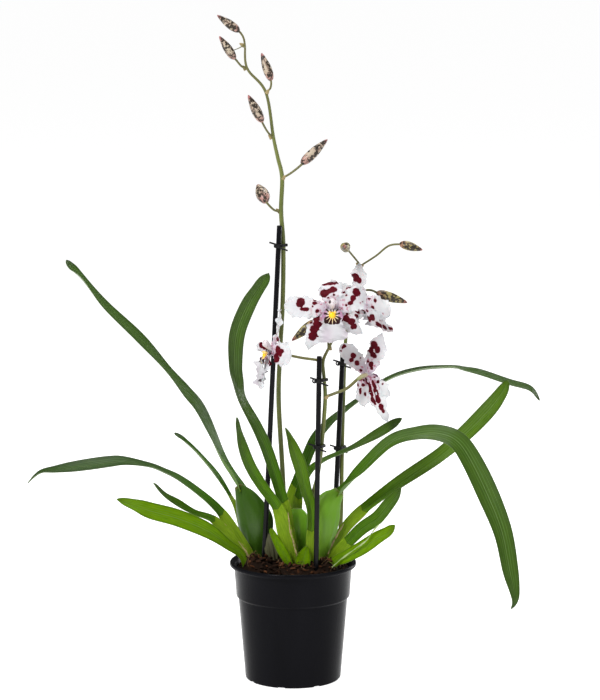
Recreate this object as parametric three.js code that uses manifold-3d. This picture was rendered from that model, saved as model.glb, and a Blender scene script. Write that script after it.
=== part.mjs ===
// A potted odontonia orchid in bloom: a 12 cm nursery pot of bark, flat pseudobulbs, strap leaves,
// three flower spikes tied to black stakes, and spotted blooms.
// Lengths are in millimetres and angles in degrees. +Z is up, the pot's axis is the Z axis, the pot
// stands on z = 0, and the plant's front looks along -Y.
import * as THREE from "three";
import { mergeVertices } from "three/addons/utils/BufferGeometryUtils.js";
import Module from "manifold-3d";

const wasm = await Module();
wasm.setup();

// Driving dimensions
const GAP = 0.35; // between pieces that touch
const POT = {
  rimRadius: 60,
  height: 113,
  lipDepth: 4.5,
  neckRadius: 55.8,
  bandRadius: 53.9,
  bandBottom: 80.5,
  stepRadius: 51.9,
  baseRadius: 45.4,
  wall: 1.6,
  floor: 2.4,
  sides: 32,
  drainHoles: 8,
  drainRadius: 3.5,
  drainCircle: 33,
  notch: [8, 7, 3], // a slot through the foot beside each hole
  notchTurn: 8,
};
const BARK = {
  edge: 106,
  heap: 4,
  relief: 2.2,
  reach: 53,
  spokes: 24,
  rings: 6,
  chips: 9,
  chipLength: 15,
  chipThickness: 3.4,
  chipTilt: 14,
  chipSpread: 43,
};
const GOLDEN_ANGLE = 2.4;
const ROOT_DEPTH = 98; // z at which leaf bases and stems end in the bark
const BULB_DEPTH = 95; // z at which the bulbs meet the rhizome
const STAKE = { radius: 2.4, sides: 8, point: 5, bevel: 0.8 };
const TIE = { wire: 0.8, slack: 0.6, tail: 8, sides: 3, bends: 4 };
const LEAF = { rib: 1.5, edge: 0.9, steps: 17, across: 2, tip: 0.05, bladeFold: 16, narrowest: 0.6 };
const BUD = [
  [0, 0.35],
  [0.14, 0.78],
  [0.34, 1],
  [0.58, 0.84],
  [0.82, 0.42],
  [1, 0.1],
]; // [share of the length, share of the radius]
const TEPAL = { rib: 1.0, edge: 0.7, steps: 3, tip: 0.3, claw: 0.28, ruffle: 1.3, ruffles: 9.5 };
const LIP = { rib: 1.1, edge: 0.7, steps: 4, tip: 0.14, claw: 9, ruffle: 2.2, ruffles: 11, forward: 3 };
const COLUMN = [
  [-1, 0.6, 2],
  [4, 2.4, 2],
  [7.6, 3.4, 2.4],
  [9.6, 3, 1.4],
]; // [out of the bloom, up, radius]
const PETAL_ROWS = 6;

const COLOURS = {
  pot: { color: 0x26272b, roughness: 0.38, metalness: 0 },
  bark: { color: 0x3a2117, roughness: 0.95, metalness: 0 },
  stake: { color: 0x131216, roughness: 0.4, metalness: 0 },
  tie: { color: 0x101012, roughness: 0.5, metalness: 0 },
  leaf: { color: 0x3c6e2a, roughness: 0.42, metalness: 0 },
  youngLeaf: { color: 0x6f9e1e, roughness: 0.42, metalness: 0 },
  bulb: { color: 0x4f7d33, roughness: 0.4, metalness: 0 },
  oldBulb: { color: 0x77745a, roughness: 0.8, metalness: 0 },
  root: { color: 0xb8a887, roughness: 0.8, metalness: 0 },
  spike: { color: 0x6b7a3a, roughness: 0.5, metalness: 0 },
  tepals: { color: 0xf0ecec, roughness: 0.5, metalness: 0 },
  lip: { color: 0xe9dfe8, roughness: 0.5, metalness: 0 },
};

// Small helpers
const vec = (x, y, z) => new THREE.Vector3(x, y, z);
const rad = THREE.MathUtils.degToRad;
const mix = THREE.MathUtils.lerp;
const smooth = (x) => THREE.MathUtils.smoothstep(x, 0, 1);

// A seeded draw between 0 and 1, the same at each run.
function draws(seed) {
  let state = seed;
  return () => {
    state = (state * 1664525 + 1013904223) % 4294967296;
    return state / 4294967296;
  };
}

// Even shares of a length, with two more for a round tip.
function shares(steps, tip = 0) {
  const even = Array.from({ length: steps + 1 }, (_, i) => (i / steps) * (1 - tip));
  return tip ? [...even, 1 - 0.35 * tip, 1] : even;
}

// Rows of numbers, the first three a point, as a Catmull-Rom curve read at shares of its length.
function trace(rows, places) {
  const last = rows.length - 1;
  const beyond = (a, b) => a.map((value, k) => 2 * value - b[k]);
  const all = [beyond(rows[0], rows[1]), ...rows, beyond(rows[last], rows[last - 1])];
  const fine = [];
  for (let i = 0; i < last; i++)
    for (let j = 0; j < 16; j++) {
      const t = j / 16;
      fine.push(
        all[i].map((p0, k) => {
          const [p1, p2, p3] = [all[i + 1][k], all[i + 2][k], all[i + 3][k]];
          return (
            0.5 *
            (2 * p1 + (p2 - p0) * t + (2 * p0 - 5 * p1 + 4 * p2 - p3) * t * t +
              (3 * p1 - p0 - 3 * p2 + p3) * t * t * t)
          );
        }),
      );
    }
  fine.push(rows[last]);
  const length = [0];
  for (let i = 1; i < fine.length; i++)
    length.push(length[i - 1] + vec(...fine[i]).distanceTo(vec(...fine[i - 1])));
  const total = length[fine.length - 1];
  return places.map((share) => {
    const want = Math.min(total * share, total);
    const i = Math.max(length.findIndex((l) => l >= want), 1);
    const t = (want - length[i - 1]) / (length[i] - length[i - 1]);
    return fine[i].map((value, k) => mix(fine[i - 1][k], value, t));
  });
}

// The direction of travel at each station of a traced curve.
function headings(stations) {
  return stations.map((_, i) => {
    const a = stations[Math.max(i - 1, 0)];
    const b = stations[Math.min(i + 1, stations.length - 1)];
    return vec(...b).sub(vec(...a)).normalize();
  });
}

// A closed geometry from points and triangles given as indices.
function geometryOf(points, faces) {
  const geometry = new THREE.BufferGeometry();
  geometry.setAttribute(
    "position",
    new THREE.Float32BufferAttribute(points.flatMap((p) => [p.x, p.y, p.z]), 3),
  );
  geometry.setIndex(faces.flat());
  return geometry;
}

function solidOf(geometry) {
  const bare = geometry.clone();
  for (const name of ["normal", "uv"]) bare.deleteAttribute(name);
  const merged = mergeVertices(bare, 1e-4);
  return new wasm.Manifold(
    new wasm.Mesh({
      numProp: 3,
      vertProperties: merged.attributes.position.array,
      triVerts: new Uint32Array(merged.index.array),
    }),
  );
}

function geometryFrom(solid) {
  const made = solid.getMesh();
  const geometry = new THREE.BufferGeometry();
  geometry.setAttribute("position", new THREE.BufferAttribute(made.vertProperties, 3));
  geometry.setIndex(new THREE.BufferAttribute(made.triVerts, 1));
  return geometry;
}

// Solids joined, and the largest body of what a cut leaves.
const fused = (solids) => solids.reduce((all, one) => all.add(one));
const cut = (solid, tools) => tools.reduce((left, tool) => left.subtract(tool), solid);
const largest = (solid) =>
  solid.decompose().reduce((a, b) => (a.volume() > b.volume() ? a : b));

// A round or oval rod along rows of [x, y, z, radius]. Without steps its rings stand at the rows,
// and otherwise they are spread evenly. flat is its depth, front to back, over its width.
function rod(rows, { steps = 0, sides = 8, flat = 1, grow = 0, built = steps } = {}) {
  const stations = steps ? trace(rows, shares(steps)) : rows;
  const heads = headings(stations);
  const last = built || rows.length - 1;
  const points = [];
  const side = vec(0, -1, 0).cross(heads[0]);
  if (side.lengthSq() < 1e-6) side.set(1, 0, 0);
  stations.slice(0, last + 1).forEach(([x, y, z, radius], i) => {
    side.sub(heads[i].clone().multiplyScalar(side.dot(heads[i]))).normalize();
    const deep = heads[i].clone().cross(side);
    const reach = Math.max(radius, 0.15) + grow;
    for (let j = 0; j < sides; j++) {
      const angle = (2 * Math.PI * j) / sides;
      points.push(
        vec(x, y, z)
          .addScaledVector(side, reach * Math.cos(angle))
          .addScaledVector(deep, reach * flat * Math.sin(angle)),
      );
    }
  });
  return tubeOf(points, last + 1, sides, vec(...stations[0]), vec(...stations[last]));
}

// Rings of points skinned as one closed tube, each end closed on a middle point.
function tubeOf(points, count, sides, foot, head) {
  const faces = [];
  for (let i = 0; i < count - 1; i++)
    for (let j = 0; j < sides; j++) {
      const [a, b] = [i * sides + j, i * sides + ((j + 1) % sides)];
      faces.push([a, b, b + sides], [a, b + sides, a + sides]);
    }
  const [low, high, last] = [points.length, points.length + 1, (count - 1) * sides];
  for (let j = 0; j < sides; j++) {
    const [a, b] = [j, (j + 1) % sides];
    faces.push([low, b, a], [high, last + a, last + b]);
  }
  return solidOf(geometryOf([...points, foot, head], faces));
}

// A thin blade along rows of [x, y, z, width, turn]. turn is how far the upper face is turned to
// the front: at 0 it looks up or inwards, at 90 it faces the front. hand is 1 for a blade that
// grows to the left and -1 to the right. The tip closes roundly over the last share of the length.
// fold and wave are functions of s, from 0 at the foot to 1 at the tip, and wave(s, k) lifts the
// margin, where k runs from -1 to 1 across.
function blade({
  rows,
  hand = 1,
  front = vec(0, -1, 0),
  steps = 12,
  across = 4,
  tip = LEAF.tip,
  fold = () => 0,
  wave = () => 0,
  rib = LEAF.rib,
  edge = LEAF.edge,
  grow = 0,
  built = steps + 2,
}) {
  const places = shares(steps, tip);
  const stations = trace(rows, places);
  const heads = headings(stations);
  const [upper, lower] = [[], []];
  stations.slice(0, built + 1).forEach(([x, y, z, width, turn], i) => {
    const s = places[i];
    const toFront = front.clone().addScaledVector(heads[i], -front.dot(heads[i])).normalize();
    const inwards = heads[i].clone().cross(toFront).multiplyScalar(hand);
    const face = inwards
      .multiplyScalar(Math.cos(rad(turn)))
      .addScaledVector(toFront, Math.sin(rad(turn)));
    const side = heads[i].clone().cross(face);
    const closing = Math.sqrt(1 - Math.max(0, (s - 1 + tip) / tip) ** 2);
    const half = Math.max(width * closing, LEAF.narrowest) / 2 + grow;
    for (let j = 0; j <= across; j++) {
      const k = (2 * j) / across - 1;
      const lean = rad(fold(s));
      const lift = (Math.abs(k) - 0.5) * half * Math.sin(lean) + wave(s, k);
      const middle = vec(x, y, z)
        .addScaledVector(side, k * half * Math.cos(lean))
        .addScaledVector(face, lift);
      const tilt = lean * Math.abs(k) ** 0.3;
      const outward = face
        .clone()
        .multiplyScalar(Math.cos(tilt))
        .addScaledVector(side, -Math.sign(k) * Math.sin(tilt));
      const depth = mix(rib, edge, Math.abs(k)) / 2 + grow;
      upper.push(middle.clone().addScaledVector(outward, depth));
      lower.push(middle.clone().addScaledVector(outward, -depth));
    }
  });
  const row = across + 1;
  const under = upper.length;
  const faces = [];
  const quad = (a, b, c, d) => faces.push([a, b, c], [a, c, d]);
  for (let i = 0; i < built; i++)
    for (let j = 0; j < across; j++) {
      const [a, b, c, d] = [i * row + j, (i + 1) * row + j, (i + 1) * row + j + 1, i * row + j + 1];
      quad(a, d, c, b);
      faces.push([under + a, under + b, under + c], [under + a, under + c, under + d]);
    }
  for (let i = 0; i < built; i++) {
    const [a, b] = [i * row, (i + 1) * row];
    quad(a, b, under + b, under + a);
    quad(b + across, a + across, under + a + across, under + b + across);
  }
  for (let j = 0; j < across; j++) {
    const end = built * row + j;
    quad(j + 1, j, under + j, under + j + 1);
    quad(end, end + 1, under + end + 1, under + end);
  }
  return solidOf(geometryOf([...upper, ...lower], faces));
}

// The nursery pot: a rolled lip, a straight band, a step, and a tapered body with a drained floor.
function makePot() {
  const { rimRadius: rim, height, wall, floor } = POT;
  const lip = height - POT.lipDepth;
  const profile = [
    [0, 0],
    [POT.baseRadius - 2, 0],
    [POT.baseRadius, 2],
    [POT.stepRadius, POT.bandBottom - 1.6],
    [POT.bandRadius, POT.bandBottom],
    [POT.neckRadius, lip - 0.6],
    [rim - 1, lip + 0.6],
    [rim, lip + 1.8],
    [rim - 0.2, height - 0.8],
    [rim - 1.2, height],
    [rim - 2.6, height - 0.2],
    [POT.neckRadius - wall + 0.6, lip + 1.4],
    [POT.bandRadius - wall, POT.bandBottom + 1],
    [POT.stepRadius - wall, POT.bandBottom - 1],
    [POT.baseRadius - wall, floor + 1.2],
    [POT.baseRadius - wall - 1.4, floor],
    [0, floor],
  ];
  const lathe = new THREE.LatheGeometry(
    profile.map(([r, z]) => new THREE.Vector2(r, z)),
    POT.sides,
  ).rotateX(Math.PI / 2);
  const body = solidOf(lathe);
  const tools = [];
  for (let i = 0; i < POT.drainHoles; i++) {
    const angle = (2 * Math.PI * (i + 0.5)) / POT.drainHoles;
    const hole = new THREE.CylinderGeometry(POT.drainRadius, POT.drainRadius, 3 * floor, 8)
      .rotateX(Math.PI / 2)
      .translate(POT.drainCircle * Math.cos(angle), POT.drainCircle * Math.sin(angle), floor);
    const notch = new THREE.BoxGeometry(...POT.notch)
      .translate(POT.baseRadius, 0, 0)
      .rotateZ(angle + rad(POT.notchTurn));
    tools.push(solidOf(hole), solidOf(notch));
  }
  return cut(body, tools);
}

// The height of the bark's surface: a low heap with a rough relief.
function barkHeight(x, y) {
  const out = Math.min(Math.hypot(x, y) / BARK.reach, 1);
  const rough =
    Math.sin(0.61 * x + 1.3 * Math.sin(0.37 * y)) * Math.sin(0.53 * y + 1.7 * Math.sin(0.29 * x)) +
    0.5 * Math.sin(1.13 * x + 0.7 * y);
  return BARK.edge + BARK.heap * (1 - out * out) + BARK.relief * rough * (1 - out ** 6);
}

// The bark mix: it fills the pot to just under the lip, and coarse chips lie half sunk in its top.
function makeBark(tools) {
  const clear = POT.wall + 2 * GAP;
  const side = [
    [POT.baseRadius - clear - 2, POT.floor + GAP],
    [POT.baseRadius - clear, POT.floor + 3],
    [POT.stepRadius - clear - 0.4, POT.bandBottom - 2],
    [POT.bandRadius - clear - 0.4, POT.bandBottom + 3],
    [POT.neckRadius - clear - 0.6, BARK.edge],
  ];
  const points = [vec(0, 0, POT.floor + GAP)];
  const { spokes } = BARK;
  const ring = (radius, height) => {
    for (let j = 0; j < spokes; j++) {
      const angle = (2 * Math.PI * j) / spokes;
      const [x, y] = [radius * Math.cos(angle), radius * Math.sin(angle)];
      points.push(vec(x, y, height(x, y)));
    }
  };
  side.forEach(([radius, z]) => ring(radius, () => z));
  const outer = side[side.length - 1][0];
  for (let i = 1; i < BARK.rings; i++) ring(outer * (1 - i / BARK.rings), barkHeight);
  points.push(vec(0, 0, barkHeight(0, 0)));
  const rings = side.length + BARK.rings - 1;
  const faces = [];
  for (let j = 0; j < spokes; j++) {
    const next = (j + 1) % spokes;
    faces.push([0, 1 + next, 1 + j]);
    for (let i = 0; i < rings - 1; i++) {
      const [a, b] = [1 + i * spokes + j, 1 + i * spokes + next];
      faces.push([a, b, b + spokes], [a, b + spokes, a + spokes]);
    }
    const top = 1 + (rings - 1) * spokes;
    faces.push([top + j, top + next, points.length - 1]);
  }
  const draw = draws(7);
  const chips = [];
  for (let i = 0; i < BARK.chips; i++) {
    const angle = i * GOLDEN_ANGLE;
    const radius = BARK.chipSpread * Math.sqrt((i + 0.5) / BARK.chips);
    const [x, y] = [radius * Math.cos(angle), radius * Math.sin(angle)];
    const length = BARK.chipLength * (0.7 + 0.5 * draw());
    const chip = new THREE.BoxGeometry(length, length * 0.55, BARK.chipThickness)
      .rotateY(rad(BARK.chipTilt * (2 * draw() - 1)))
      .rotateX(rad(BARK.chipTilt * (2 * draw() - 1)))
      .rotateZ(Math.PI * draw())
      .translate(x, y, barkHeight(x, y) + 0.2);
    chips.push(solidOf(chip));
  }
  return largest(cut(fused([solidOf(geometryOf(points, faces)), ...chips]), tools));
}

// Pseudobulbs: rows of [x, y, z, half width] up the bulb, with flat as depth over width.
const BULBS = {
  left: {
    rows: [
      [-37, 5, BULB_DEPTH, 4.5],
      [-38, 5, 112, 7],
      [-40, 5, 131, 10],
      [-41, 5, 148, 12],
      [-42, 5, 164, 12],
      [-46, 5, 175, 8],
      [-49, 5, 182, 3.6],
    ],
    flat: 0.56,
    colour: "bulb",
  },
  right: {
    rows: [
      [29, -9, BULB_DEPTH, 4.5],
      [29, -9, 112, 6.5],
      [31, -9, 130, 9],
      [33, -8, 146, 11.4],
      [35, -8, 160, 11],
      [39, -7, 172, 7.4],
      [42, -7, 180, 3.6],
    ],
    flat: 0.56,
    colour: "bulb",
  },
  middle: {
    rows: [
      [9, 9, BULB_DEPTH, 4.5],
      [9, 9, 112, 7],
      [10, 9, 130, 9.5],
      [9, 10, 146, 9],
      [7, 10, 158, 6],
      [6, 11, 165, 2.6],
    ],
    flat: 0.6,
    colour: "bulb",
  },
  old: {
    rows: [
      [-17, 4, BULB_DEPTH, 4],
      [-18, 4, 110, 5.6],
      [-18, 4, 124, 6],
      [-19, 5, 134, 4],
      [-19, 5, 140, 1.6],
    ],
    flat: 0.7,
    colour: "oldBulb",
  },
};

// Leaves: rows of [x, y, z, width, turn] from the foot to the tip. sheathFold is how steeply each
// half stands up from the rib at the foot, where the leaf clasps its neighbours, and round is the
// share of the length over which the tip closes.
const LEAVES = {
  left_tall: {
    hand: 1,
    grows: "left",
    sheathFold: 40,
    rows: [
      [-48, 5, 180, 15, 28],
      [-57, 6, 195, 15.5, 7],
      [-68, 8, 213, 16, 14],
      [-87, 13, 254, 16, 33],
      [-101, 16, 272, 16.5, 34],
      [-120, 20, 294, 17, 16],
      [-146, 27, 322, 16.5, 26],
      [-178, 34, 352, 16.5, 24],
      [-199, 41, 377, 14.5, 5],
      [-210, 44, 387, 15, 19],
      [-215, 46, 394, 10, 34],
    ],
  },
  left_long: {
    hand: 1,
    sheathFold: 48,
    rows: [
      [-45, -6, ROOT_DEPTH, 12, 50],
      [-47, -7, 116, 12, 50],
      [-52, -9, 135, 12, 50],
      [-65, -14, 159, 13, 39],
      [-84, -22, 179, 14, 21],
      [-105, -30, 197, 13, 12],
      [-120, -34, 206, 13, 7],
      [-133, -38, 212, 13, 12],
      [-156, -43, 217, 14.5, 28],
      [-171, -47, 217, 15, 37],
      [-201, -54, 214, 13.5, 37],
      [-220, -58, 212, 11, 28],
      [-231, -60, 211, 8.5, 20],
      [-238, -62, 207, 7, 17],
      [-244, -63, 201, 3, 30],
    ],
  },
  left_thin: {
    hand: 1,
    sheathFold: 35,
    steps: 11,
    rows: [
      [-46, 18, ROOT_DEPTH, 8, 35],
      [-47, 18, 122, 8, 35],
      [-56, 20, 160, 10, 30],
      [-62, 22, 173, 10.5, 22],
      [-74, 24, 192, 9.5, 14],
      [-90, 27, 211, 9.5, 13],
      [-103, 29, 223, 8.5, 12],
      [-113, 31, 230, 5, 28],
    ],
  },
  left_low: {
    hand: 1,
    sheathFold: 45,
    steps: 11,
    rows: [
      [-47, -15, ROOT_DEPTH, 9.5, 50],
      [-49, -16, 117, 9.5, 50],
      [-58, -22, 137, 10, 50],
      [-75, -28, 154, 11, 34],
      [-92, -33, 166, 10, 31],
      [-107, -38, 176, 10, 30],
      [-119, -43, 185, 8.5, 21],
      [-129, -48, 198, 4, 40],
    ],
  },
  left_lowest: {
    hand: 1,
    colour: "youngLeaf",
    sheathFold: 40,
    steps: 11,
    rows: [
      [-40, -21, ROOT_DEPTH, 9, 50],
      [-46, -24, 117, 9.5, 50],
      [-63, -33, 138, 14, 35],
      [-79, -42, 151, 15.5, 62],
      [-106, -56, 166, 17.5, 64],
      [-131, -69, 176, 16.5, 64],
      [-147, -77, 183, 14, 33],
      [-161, -83, 190, 5, 50],
    ],
  },
  centre_tall: {
    hand: 1,
    sheathFold: 48,
    rows: [
      [0, -7, ROOT_DEPTH, 15, 66],
      [-2, -7, 114, 15, 66],
      [-6, -8, 144, 15.5, 66],
      [-11, -9, 175, 15.5, 66],
      [-23, -12, 217, 14, 62],
      [-34, -14, 243, 15.5, 40],
      [-48, -17, 270, 15.5, 25],
      [-52, -18, 288, 16, 39],
      [-54, -20, 304, 16.5, 53],
      [-52, -24, 334, 17, 72],
      [-42, -28, 361, 16.5, 70],
      [-32, -31, 378, 14, 62],
      [-25, -34, 388, 13, 68],
      [-22, -36, 392, 10, 55],
    ],
  },
  centre_left: {
    hand: 1,
    sheathFold: 45,
    steps: 11,
    rows: [
      [-6, -18, ROOT_DEPTH, 11, 62],
      [-7, -18, 114, 11, 62],
      [-11, -20, 145, 12, 62],
      [-18, -22, 171, 13.5, 62],
      [-30, -24, 191, 13, 64],
      [-41, -27, 211, 12.5, 60],
      [-48, -30, 231, 13, 46],
      [-51, -32, 246, 8.5, 38],
      [-52, -33, 257, 4, 50],
    ],
  },
  centre_upright: {
    hand: 1,
    sheathFold: 42,
    steps: 11,
    rows: [
      [15, -23, ROOT_DEPTH, 10, 66],
      [16, -23, 114, 10, 66],
      [18, -25, 144, 10.5, 66],
      [17, -27, 168, 12, 66],
      [12, -29, 187, 13, 66],
      [7, -31, 208, 14, 68],
      [1, -34, 226, 12, 64],
      [-4, -36, 240, 7.5, 47],
      [-7, -37, 248, 4, 50],
    ],
  },
  back_long: {
    hand: -1,
    sheathFold: 45,
    rows: [
      [3, 33, ROOT_DEPTH, 12, 55],
      [2, 33, 122, 12, 55],
      [4, 33, 161, 12.5, 55],
      [11, 35, 197, 14, 50],
      [22, 43, 222, 14, 45],
      [36, 51, 237, 13, 29],
      [48, 56, 246, 12.5, 24],
      [63, 59, 257, 12.5, 15],
      [91, 61, 277, 13, 4],
      [120, 58, 287, 14, -3],
      [151, 55, 290, 12.5, -3],
      [165, 50, 288, 12.5, 15],
      [180, 46, 285, 12.5, 26],
      [206, 40, 277, 12, 26],
      [225, 34, 272, 10.5, 24],
      [234, 28, 262, 5, 34],
    ],
  },
  back_short: {
    hand: -1,
    sheathFold: 42,
    rows: [
      [3, 22, ROOT_DEPTH, 10, 50],
      [3, 22, 130, 10, 50],
      [5, 18, 168, 10, 50],
      [14, 10, 194, 10, 48],
      [29, 2, 209, 9, 19],
      [55, -4, 222, 9.5, 26],
      [77, -8, 235, 11, 42],
      [92, -10, 245, 9.5, 60],
      [102, -11, 252, 7, 56],
    ],
  },
  right_arching: {
    hand: -1,
    grows: "right",
    sheathFold: 42,
    rows: [
      [41, -7, 178, 14, 28],
      [49, -8, 187, 14, 4],
      [64, -12, 203, 15.5, 35],
      [91, -22, 231, 17.5, 30],
      [116, -32, 241, 18.5, 34],
      [136, -40, 243, 17.5, 60],
      [152, -46, 237, 19.5, 68],
      [164, -52, 221, 21, 72],
      [179, -60, 191, 22, 74],
      [193, -68, 156, 20, 72],
      [200, -74, 121, 17, 70],
      [204, -77, 101, 11, 60],
      [204, -79, 92, 7.5, 55],
      [201, -80, 86, 4, 50],
    ],
  },
  right_long: {
    hand: -1,
    sheathFold: 48,
    rows: [
      [42, 4, ROOT_DEPTH, 12.5, 50],
      [43, 4, 114, 12.5, 50],
      [52, 5, 135, 13, 50],
      [66, 8, 159, 17.5, 39],
      [99, 14, 183, 17.5, 37],
      [140, 21, 210, 18.5, 40],
      [165, 24, 232, 17.5, 60],
      [186, 25, 254, 17, 64],
      [198, 26, 270, 13.5, 60],
      [204, 26, 282, 10, 60],
    ],
  },
  right_low: {
    hand: -1,
    sheathFold: 45,
    steps: 11,
    rows: [
      [41, -17, ROOT_DEPTH, 11, 55],
      [42, -17, 113, 11, 55],
      [50, -22, 130, 11.5, 55],
      [63, -29, 146, 13, 40],
      [79, -37, 162, 14.5, 39],
      [89, -44, 176, 15, 37],
      [96, -50, 186, 12, 29],
      [100, -54, 195, 5, 45],
    ],
  },
  right_lowest: {
    hand: -1,
    colour: "youngLeaf",
    sheathFold: 45,
    steps: 11,
    rows: [
      [33, -27, ROOT_DEPTH, 10, 55],
      [37, -29, 113, 10, 55],
      [49, -36, 124, 12, 58],
      [64, -45, 135, 14, 60],
      [77, -54, 146, 14, 60],
      [88, -62, 154, 13, 33],
      [94, -67, 162, 5, 50],
    ],
  },
  left_bract: {
    hand: 1,
    sheathFold: 45,
    steps: 6,
    rows: [
      [-14, -14, ROOT_DEPTH, 8, 55],
      [-14, -14, 112, 8, 55],
      [-17, -14, 124, 8, 55],
      [-22, -14, 135, 8, 50],
      [-27, -14, 142, 4, 50],
    ],
  },
  centre_bract: {
    hand: -1,
    sheathFold: 50,
    steps: 5,
    rows: [
      [6, -14, ROOT_DEPTH, 9, 60],
      [6, -14, 110, 9, 60],
      [8, -15, 121, 9, 60],
      [12, -17, 132, 4, 60],
    ],
  },
};

function makeLeaf(leaf, extra = {}) {
  return blade({
    steps: LEAF.steps,
    across: LEAF.across,
    ...leaf,
    fold: (s) => mix(leaf.sheathFold, LEAF.bladeFold, smooth(s / 0.35)),
    ...extra,
  });
}

// What a leaf's foot cuts out of the bark: its own first steps, a little larger.
const leafHole = (leaf) => makeLeaf(leaf, { grow: 2 * GAP, built: 3 });

const makeBulb = ({ rows, flat }, grow = 0, built = undefined) =>
  rod(rows, { steps: 8, sides: 10, flat, grow, built });

// Stakes: foot and head of each.
const STAKES = {
  left: [
    [-31.5, -10, 24],
    [-12.5, 1, 432],
  ],
  centre: [
    [20.5, -36.5, 40],
    [24.5, -31, 314],
  ],
  right: [
    [34, 20, 24],
    [47.3, 40, 306],
  ],
};

const onStake = ([foot, head], z) =>
  vec(...foot).lerp(vec(...head), (z - foot[2]) / (head[2] - foot[2]));

// A round stake with a bevelled top and a pointed foot.
function makeStake([foot, head], grow = 0) {
  const at = (z, radius) => [...onStake([foot, head], z).toArray(), radius];
  const rows = [
    at(foot[2] - grow, STAKE.bevel),
    at(foot[2] + STAKE.point, STAKE.radius),
    at(head[2] - STAKE.bevel, STAKE.radius),
    at(head[2], STAKE.radius - STAKE.bevel),
  ];
  return rod(rows, { sides: STAKE.sides, grow });
}

// A bud from its base to its tip: a spindle, round at the base and pointed at the tip.
function makeBud({ base, tip, radius }) {
  const rows = BUD.map(([share, part]) => [
    ...vec(...base).lerp(vec(...tip), share).toArray(),
    radius * part,
  ]);
  return rod(rows, { steps: 5, sides: 6 });
}

// A stalk through points, tapering from one radius to another.
function makeStalk({ points, radii: [first, last] }, sides = 6) {
  const rows = points.map((p, i) => [...p, mix(first, last, i / (points.length - 1))]);
  return rod(rows, { steps: Math.max(3, points.length - 1), sides });
}

// Flower spikes: the stem, its side stalks to the buds and blooms, and the buds.
const SPIKES = {
  left: {
    stem: [
      [-8, 14, ROOT_DEPTH, 2.3],
      [-8, 14, 149, 2.3],
      [-10, 13, 198, 2.3],
      [-13.5, 10, 265, 2.3],
      [-12, 8, 313, 2.2],
      [-9.5, 6, 361, 2.2],
      [-9, 5, 413, 2.2],
      [-11, 5, 445, 2.1],
      [-10, 5, 476, 2],
      [-14, 4, 495, 1.8],
      [-18, 2, 514, 1.6],
      [-25, -2, 556, 1.35],
      [-42, -6, 578, 1.15],
      [-44, -8, 600, 0.95],
      [-46, -9, 608, 0.95],
      [-50, -10, 613, 1],
    ],
    stalks: [
      { points: [[-42, -6, 578], [-47, -8, 580], [-52, -11, 586], [-54, -12, 588]], radii: [0.9, 1] },
      { points: [[-25, -2, 556], [-21, 1, 559], [-20, 5, 564], [-21, 6, 568]], radii: [0.9, 1] },
      { points: [[-18, 2, 514], [-23, -3, 519], [-28, -7, 528], [-29, -8, 531]], radii: [0.9, 1] },
      { points: [[-10, 5, 476], [-4, 6, 479], [3, 6, 484], [10, 6, 490]], radii: [1, 1.1] },
      { points: [[-11, 5, 445], [-17, 3, 446], [-23, -1, 452], [-26, -2, 457]], radii: [1, 1.1] },
      { points: [[-44, -8, 600], [-49, -9, 597], [-54, -10, 595]], radii: [0.5, 0.35] },
    ],
    buds: [
      { base: [-49, -10, 612], tip: [-69, -14, 627], radius: 4.1 },
      { base: [-53, -12, 587], tip: [-67, -20, 608], radius: 4.2 },
      { base: [-20, 6, 566], tip: [-29, 14, 591], radius: 4.4 },
      { base: [-28, -8, 529], tip: [-41, -14, 554], radius: 4.7 },
      { base: [8, 6, 489], tip: [32, 14, 511], radius: 4.9 },
      { base: [-25, -3, 455], tip: [-33, 21, 468], radius: 6.2 },
    ],
  },
  centre: {
    stem: [
      [17, -9, ROOT_DEPTH, 2],
      [16, -10, 131, 2],
      [18, -20, 176, 2],
      [23, -26, 200, 2],
      [27, -28, 233, 2],
      [30, -27, 272, 1.9],
      [29, -26, 292, 1.7],
      [28, -25, 308, 1.6],
      [33, -24, 320, 1.3],
      [41, -22, 336, 1.3],
    ],
    stalks: [
      { points: [[28, -25, 308], [20, -26, 310], [8, -28, 312], [-5, -30, 315]], radii: [1.3, 1.3] },
      { points: [[30, -27, 275], [40, -28, 279], [50, -27, 283], [59, -23, 290]], radii: [1.4, 1.5] },
      { points: [[33, -24, 320], [32, -15, 334], [27, -8, 343], [20, -2, 342]], radii: [1, 1.1] },
    ],
    buds: [{ base: [21.5, -2.5, 343], tip: [-1, -8, 325], radius: 4.6 }],
  },
  right: {
    stem: [
      [42, 22, ROOT_DEPTH, 2],
      [44.5, 26, 125, 2],
      [46, 31, 155, 2],
      [46.5, 35, 193, 2],
      [47, 39.5, 222, 2],
      [48, 42, 260, 1.9],
      [49, 44, 294, 1.8],
      [50.5, 44.5, 325, 1.7],
      [53, 42, 350, 1.5],
      [59, 36, 376, 1.3],
      [64, 28, 391, 1.1],
    ],
    stalks: [
      { points: [[64, 28, 391], [57, 23, 400], [51, 16, 408], [49, 9, 411]], radii: [0.9, 1] },
      { points: [[64, 28, 391], [78, 22, 401], [90, 18, 411], [102, 15, 413]], radii: [0.9, 1] },
      { points: [[54, 41, 354], [63, 40, 364], [73, 33, 367], [81, 30, 364]], radii: [1, 1.1] },
      { points: [[50.5, 44.5, 325], [46, 34, 333], [46, 23, 341], [50, 14, 346]], radii: [1.3, 1.3] },
    ],
    buds: [
      { base: [49.5, 11, 410], tip: [48, -13, 414], radius: 4.9 },
      { base: [100, 15, 413.3], tip: [121, 10, 408], radius: 4.4 },
      { base: [79, 30, 365], tip: [108, 34, 355], radius: 4.9 },
    ],
  },
};

function makeSpike({ stem, stalks, buds }) {
  return fused([
    rod(stem, { sides: 6 }),
    ...stalks.map((stalk) => makeStalk(stalk)),
    ...buds.map(makeBud),
  ]);
}

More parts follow.
